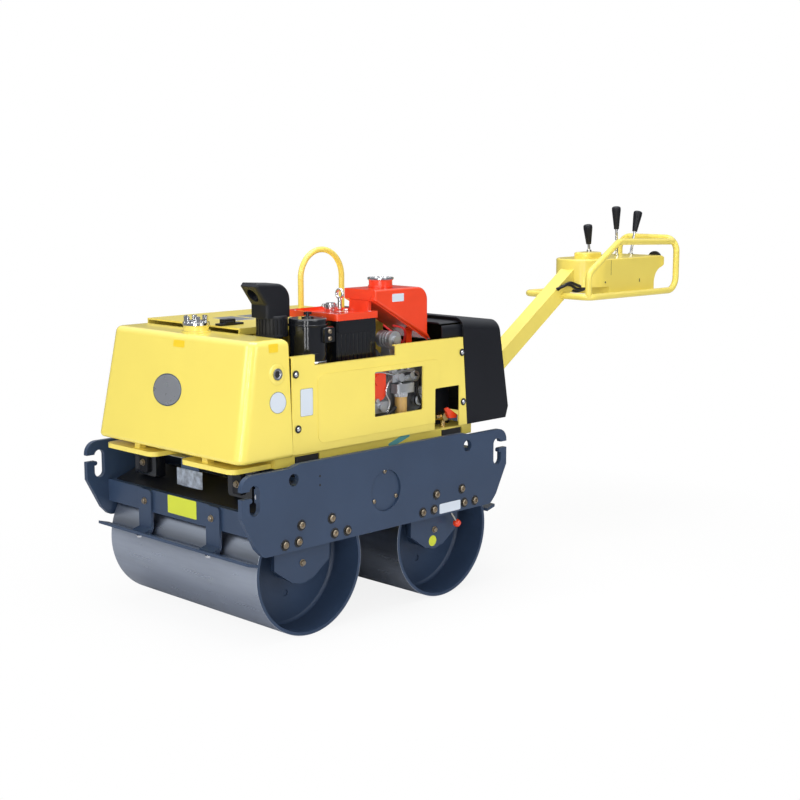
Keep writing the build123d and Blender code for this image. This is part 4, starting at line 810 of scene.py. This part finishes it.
floor_mesh = bpy.data.meshes.new("studio_floor")
span = 14.0
corners = [(-span, -span, 0), (span, -span, 0), (span, span, 0), (-span, span, 0)]
floor_mesh.from_pydata(corners, [], [(0, 1, 2, 3)])
floor = bpy.data.objects.new("studio_floor", floor_mesh)
bpy.context.scene.collection.objects.link(floor)
floor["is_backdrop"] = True
floor_paint = bpy.data.materials.new("studio_white")
floor_paint.use_nodes = True
tree = floor_paint.node_tree
tree.nodes["Principled BSDF"].inputs["Roughness"].default_value = 0.9
rays = node(tree, "LightPath")
glow = node(tree, "Emission", {"Color": (1, 1, 1, 1), "Strength": 1.0})
paper_white, reflected_grey = (0.9, 0.9, 0.9, 1.0), (0.46, 0.47, 0.5, 1.0)
tone = blend(tree, rays.outputs["Is Glossy Ray"], paper_white, reflected_grey)
tree.links.new(tone, tree.nodes["Principled BSDF"].inputs["Base Color"])
place = node(tree, "TexCoord").outputs["Object"]
away = node(tree, "VectorMath", {0: place}, operation="LENGTH").outputs["Value"]
fade = spread(tree, away, 0.86, 1.0, 0.7, 1.7)
share = node(tree, "Math", {0: seen_directly(tree, rays), 1: fade}, operation="MULTIPLY").outputs[0]
painted = tree.nodes["Principled BSDF"].outputs[0]
mix = node(tree, "MixShader", {0: share, 1: painted, 2: glow.outputs[0]})
tree.links.new(mix.outputs[0], tree.nodes["Material Output"].inputs[0])
floor_mesh.materials.append(floor_paint)

# %% [markdown]
# The camera sees pure white all round. Glossy paint sees a bank that brightens with height instead,
# which gives the enamel and the steel their soft gradients, and diffuse rays see an even pale blue.

# %% Surround
world = bpy.data.worlds.new("studio")
bpy.context.scene.world = world
world.use_nodes = True
sky = world.node_tree
ground = sky.nodes["Background"]
ground.inputs["Color"].default_value = (0.95, 0.97, 1.0, 1)
ground.inputs["Strength"].default_value = 0.4
white = node(sky, "Background", {"Color": (1, 1, 1, 1), "Strength": 1.0})
rays = node(sky, "LightPath")
height = node(sky, "SeparateXYZ", {0: node(sky, "TexCoord").outputs["Generated"]}).outputs["Z"]
brightness = spread(sky, height, 0.12, 1.15, 0.1, 0.75)
bank = node(sky, "Background", {"Color": (0.92, 0.95, 1.0, 1), "Strength": brightness})
glossy = rays.outputs["Is Glossy Ray"]
mirror = node(sky, "MixShader", {0: glossy, 1: ground.outputs[0], 2: bank.outputs[0]})
mix = node(sky, "MixShader", {0: seen_directly(sky, rays), 1: mirror.outputs[0], 2: white.outputs[0]})
sky.links.new(mix.outputs[0], sky.nodes["World Output"].inputs[0])

# %% [markdown]
# Three large boxes light the top, the front and the left side. Two tall narrow ones stand off the
# near corner and draw the long highlights down the tank's edge.


# %% Lamps
def lamp(name, place, target, size, power, colour=(1, 1, 1), tall=0.0):
    """A soft box at a place, turned towards a target; power in watts; square unless it is tall."""
    data = bpy.data.lights.new(name, "AREA")
    data.shape, data.size, data.size_y = "RECTANGLE", size, tall or size
    data.energy, data.color = power, colour
    made = bpy.data.objects.new(name, data)
    made.location = place
    made.rotation_euler = (Vector(target) - Vector(place)).to_track_quat("-Z", "Y").to_euler()
    bpy.context.scene.collection.objects.link(made)


lamp("top_box", (0.6, 0.3, 4.2), (0.4, 0.0, 0.4), 3.0, 120.0)
lamp("front_box", (4.6, 0.2, 2.2), (0.6, 0.0, 0.5), 1.8, 44.0)
lamp("left_box", (0.4, 4.6, 2.0), (0.3, 0.0, 0.5), 2.0, 44.0)
for name, place in (("corner_strip_a", (4.6, 2.5, 1.4)), ("corner_strip_b", (4.0, 3.7, 1.4))):
    lamp(name, place, (0.9, 0.2, 0.7), 0.2, 26.0, tall=2.6)

# %% [markdown]
# The camera stands in measured millimetres too. It turns 44.6 degrees from the machine's length,
# dips 8.9 degrees, and has no roll.

# %% Camera
camera_place = at(2958.79, 3356.94, 1314.55)
turn, dip = np.radians(44.617), np.radians(8.909)
sight = Vector((-np.cos(turn) * np.cos(dip), -np.sin(turn) * np.cos(dip), -np.sin(dip)))
camera_data = bpy.data.cameras.new("camera")
camera_data.sensor_width = 36.0
camera_data.lens = 65.09
camera = bpy.data.objects.new("camera", camera_data)
camera.location = camera_place
camera.rotation_euler = sight.to_track_quat("-Z", "Y").to_euler()
bpy.context.scene.collection.objects.link(camera)
bpy.context.scene.camera = camera
bpy.context.scene.view_settings.view_transform = "Standard"

# %% Sizes and finish
dressed_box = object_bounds()
sizes = {
    "model": [list(map(float, corner)) for corner in model_box],
    "dressed": [list(map(float, corner)) for corner in dressed_box],
}
growth = [round((b - a) * 1000, 1) for a, b in zip(sizes["model"][1], sizes["dressed"][1])]
print("grown by (mm):", growth)
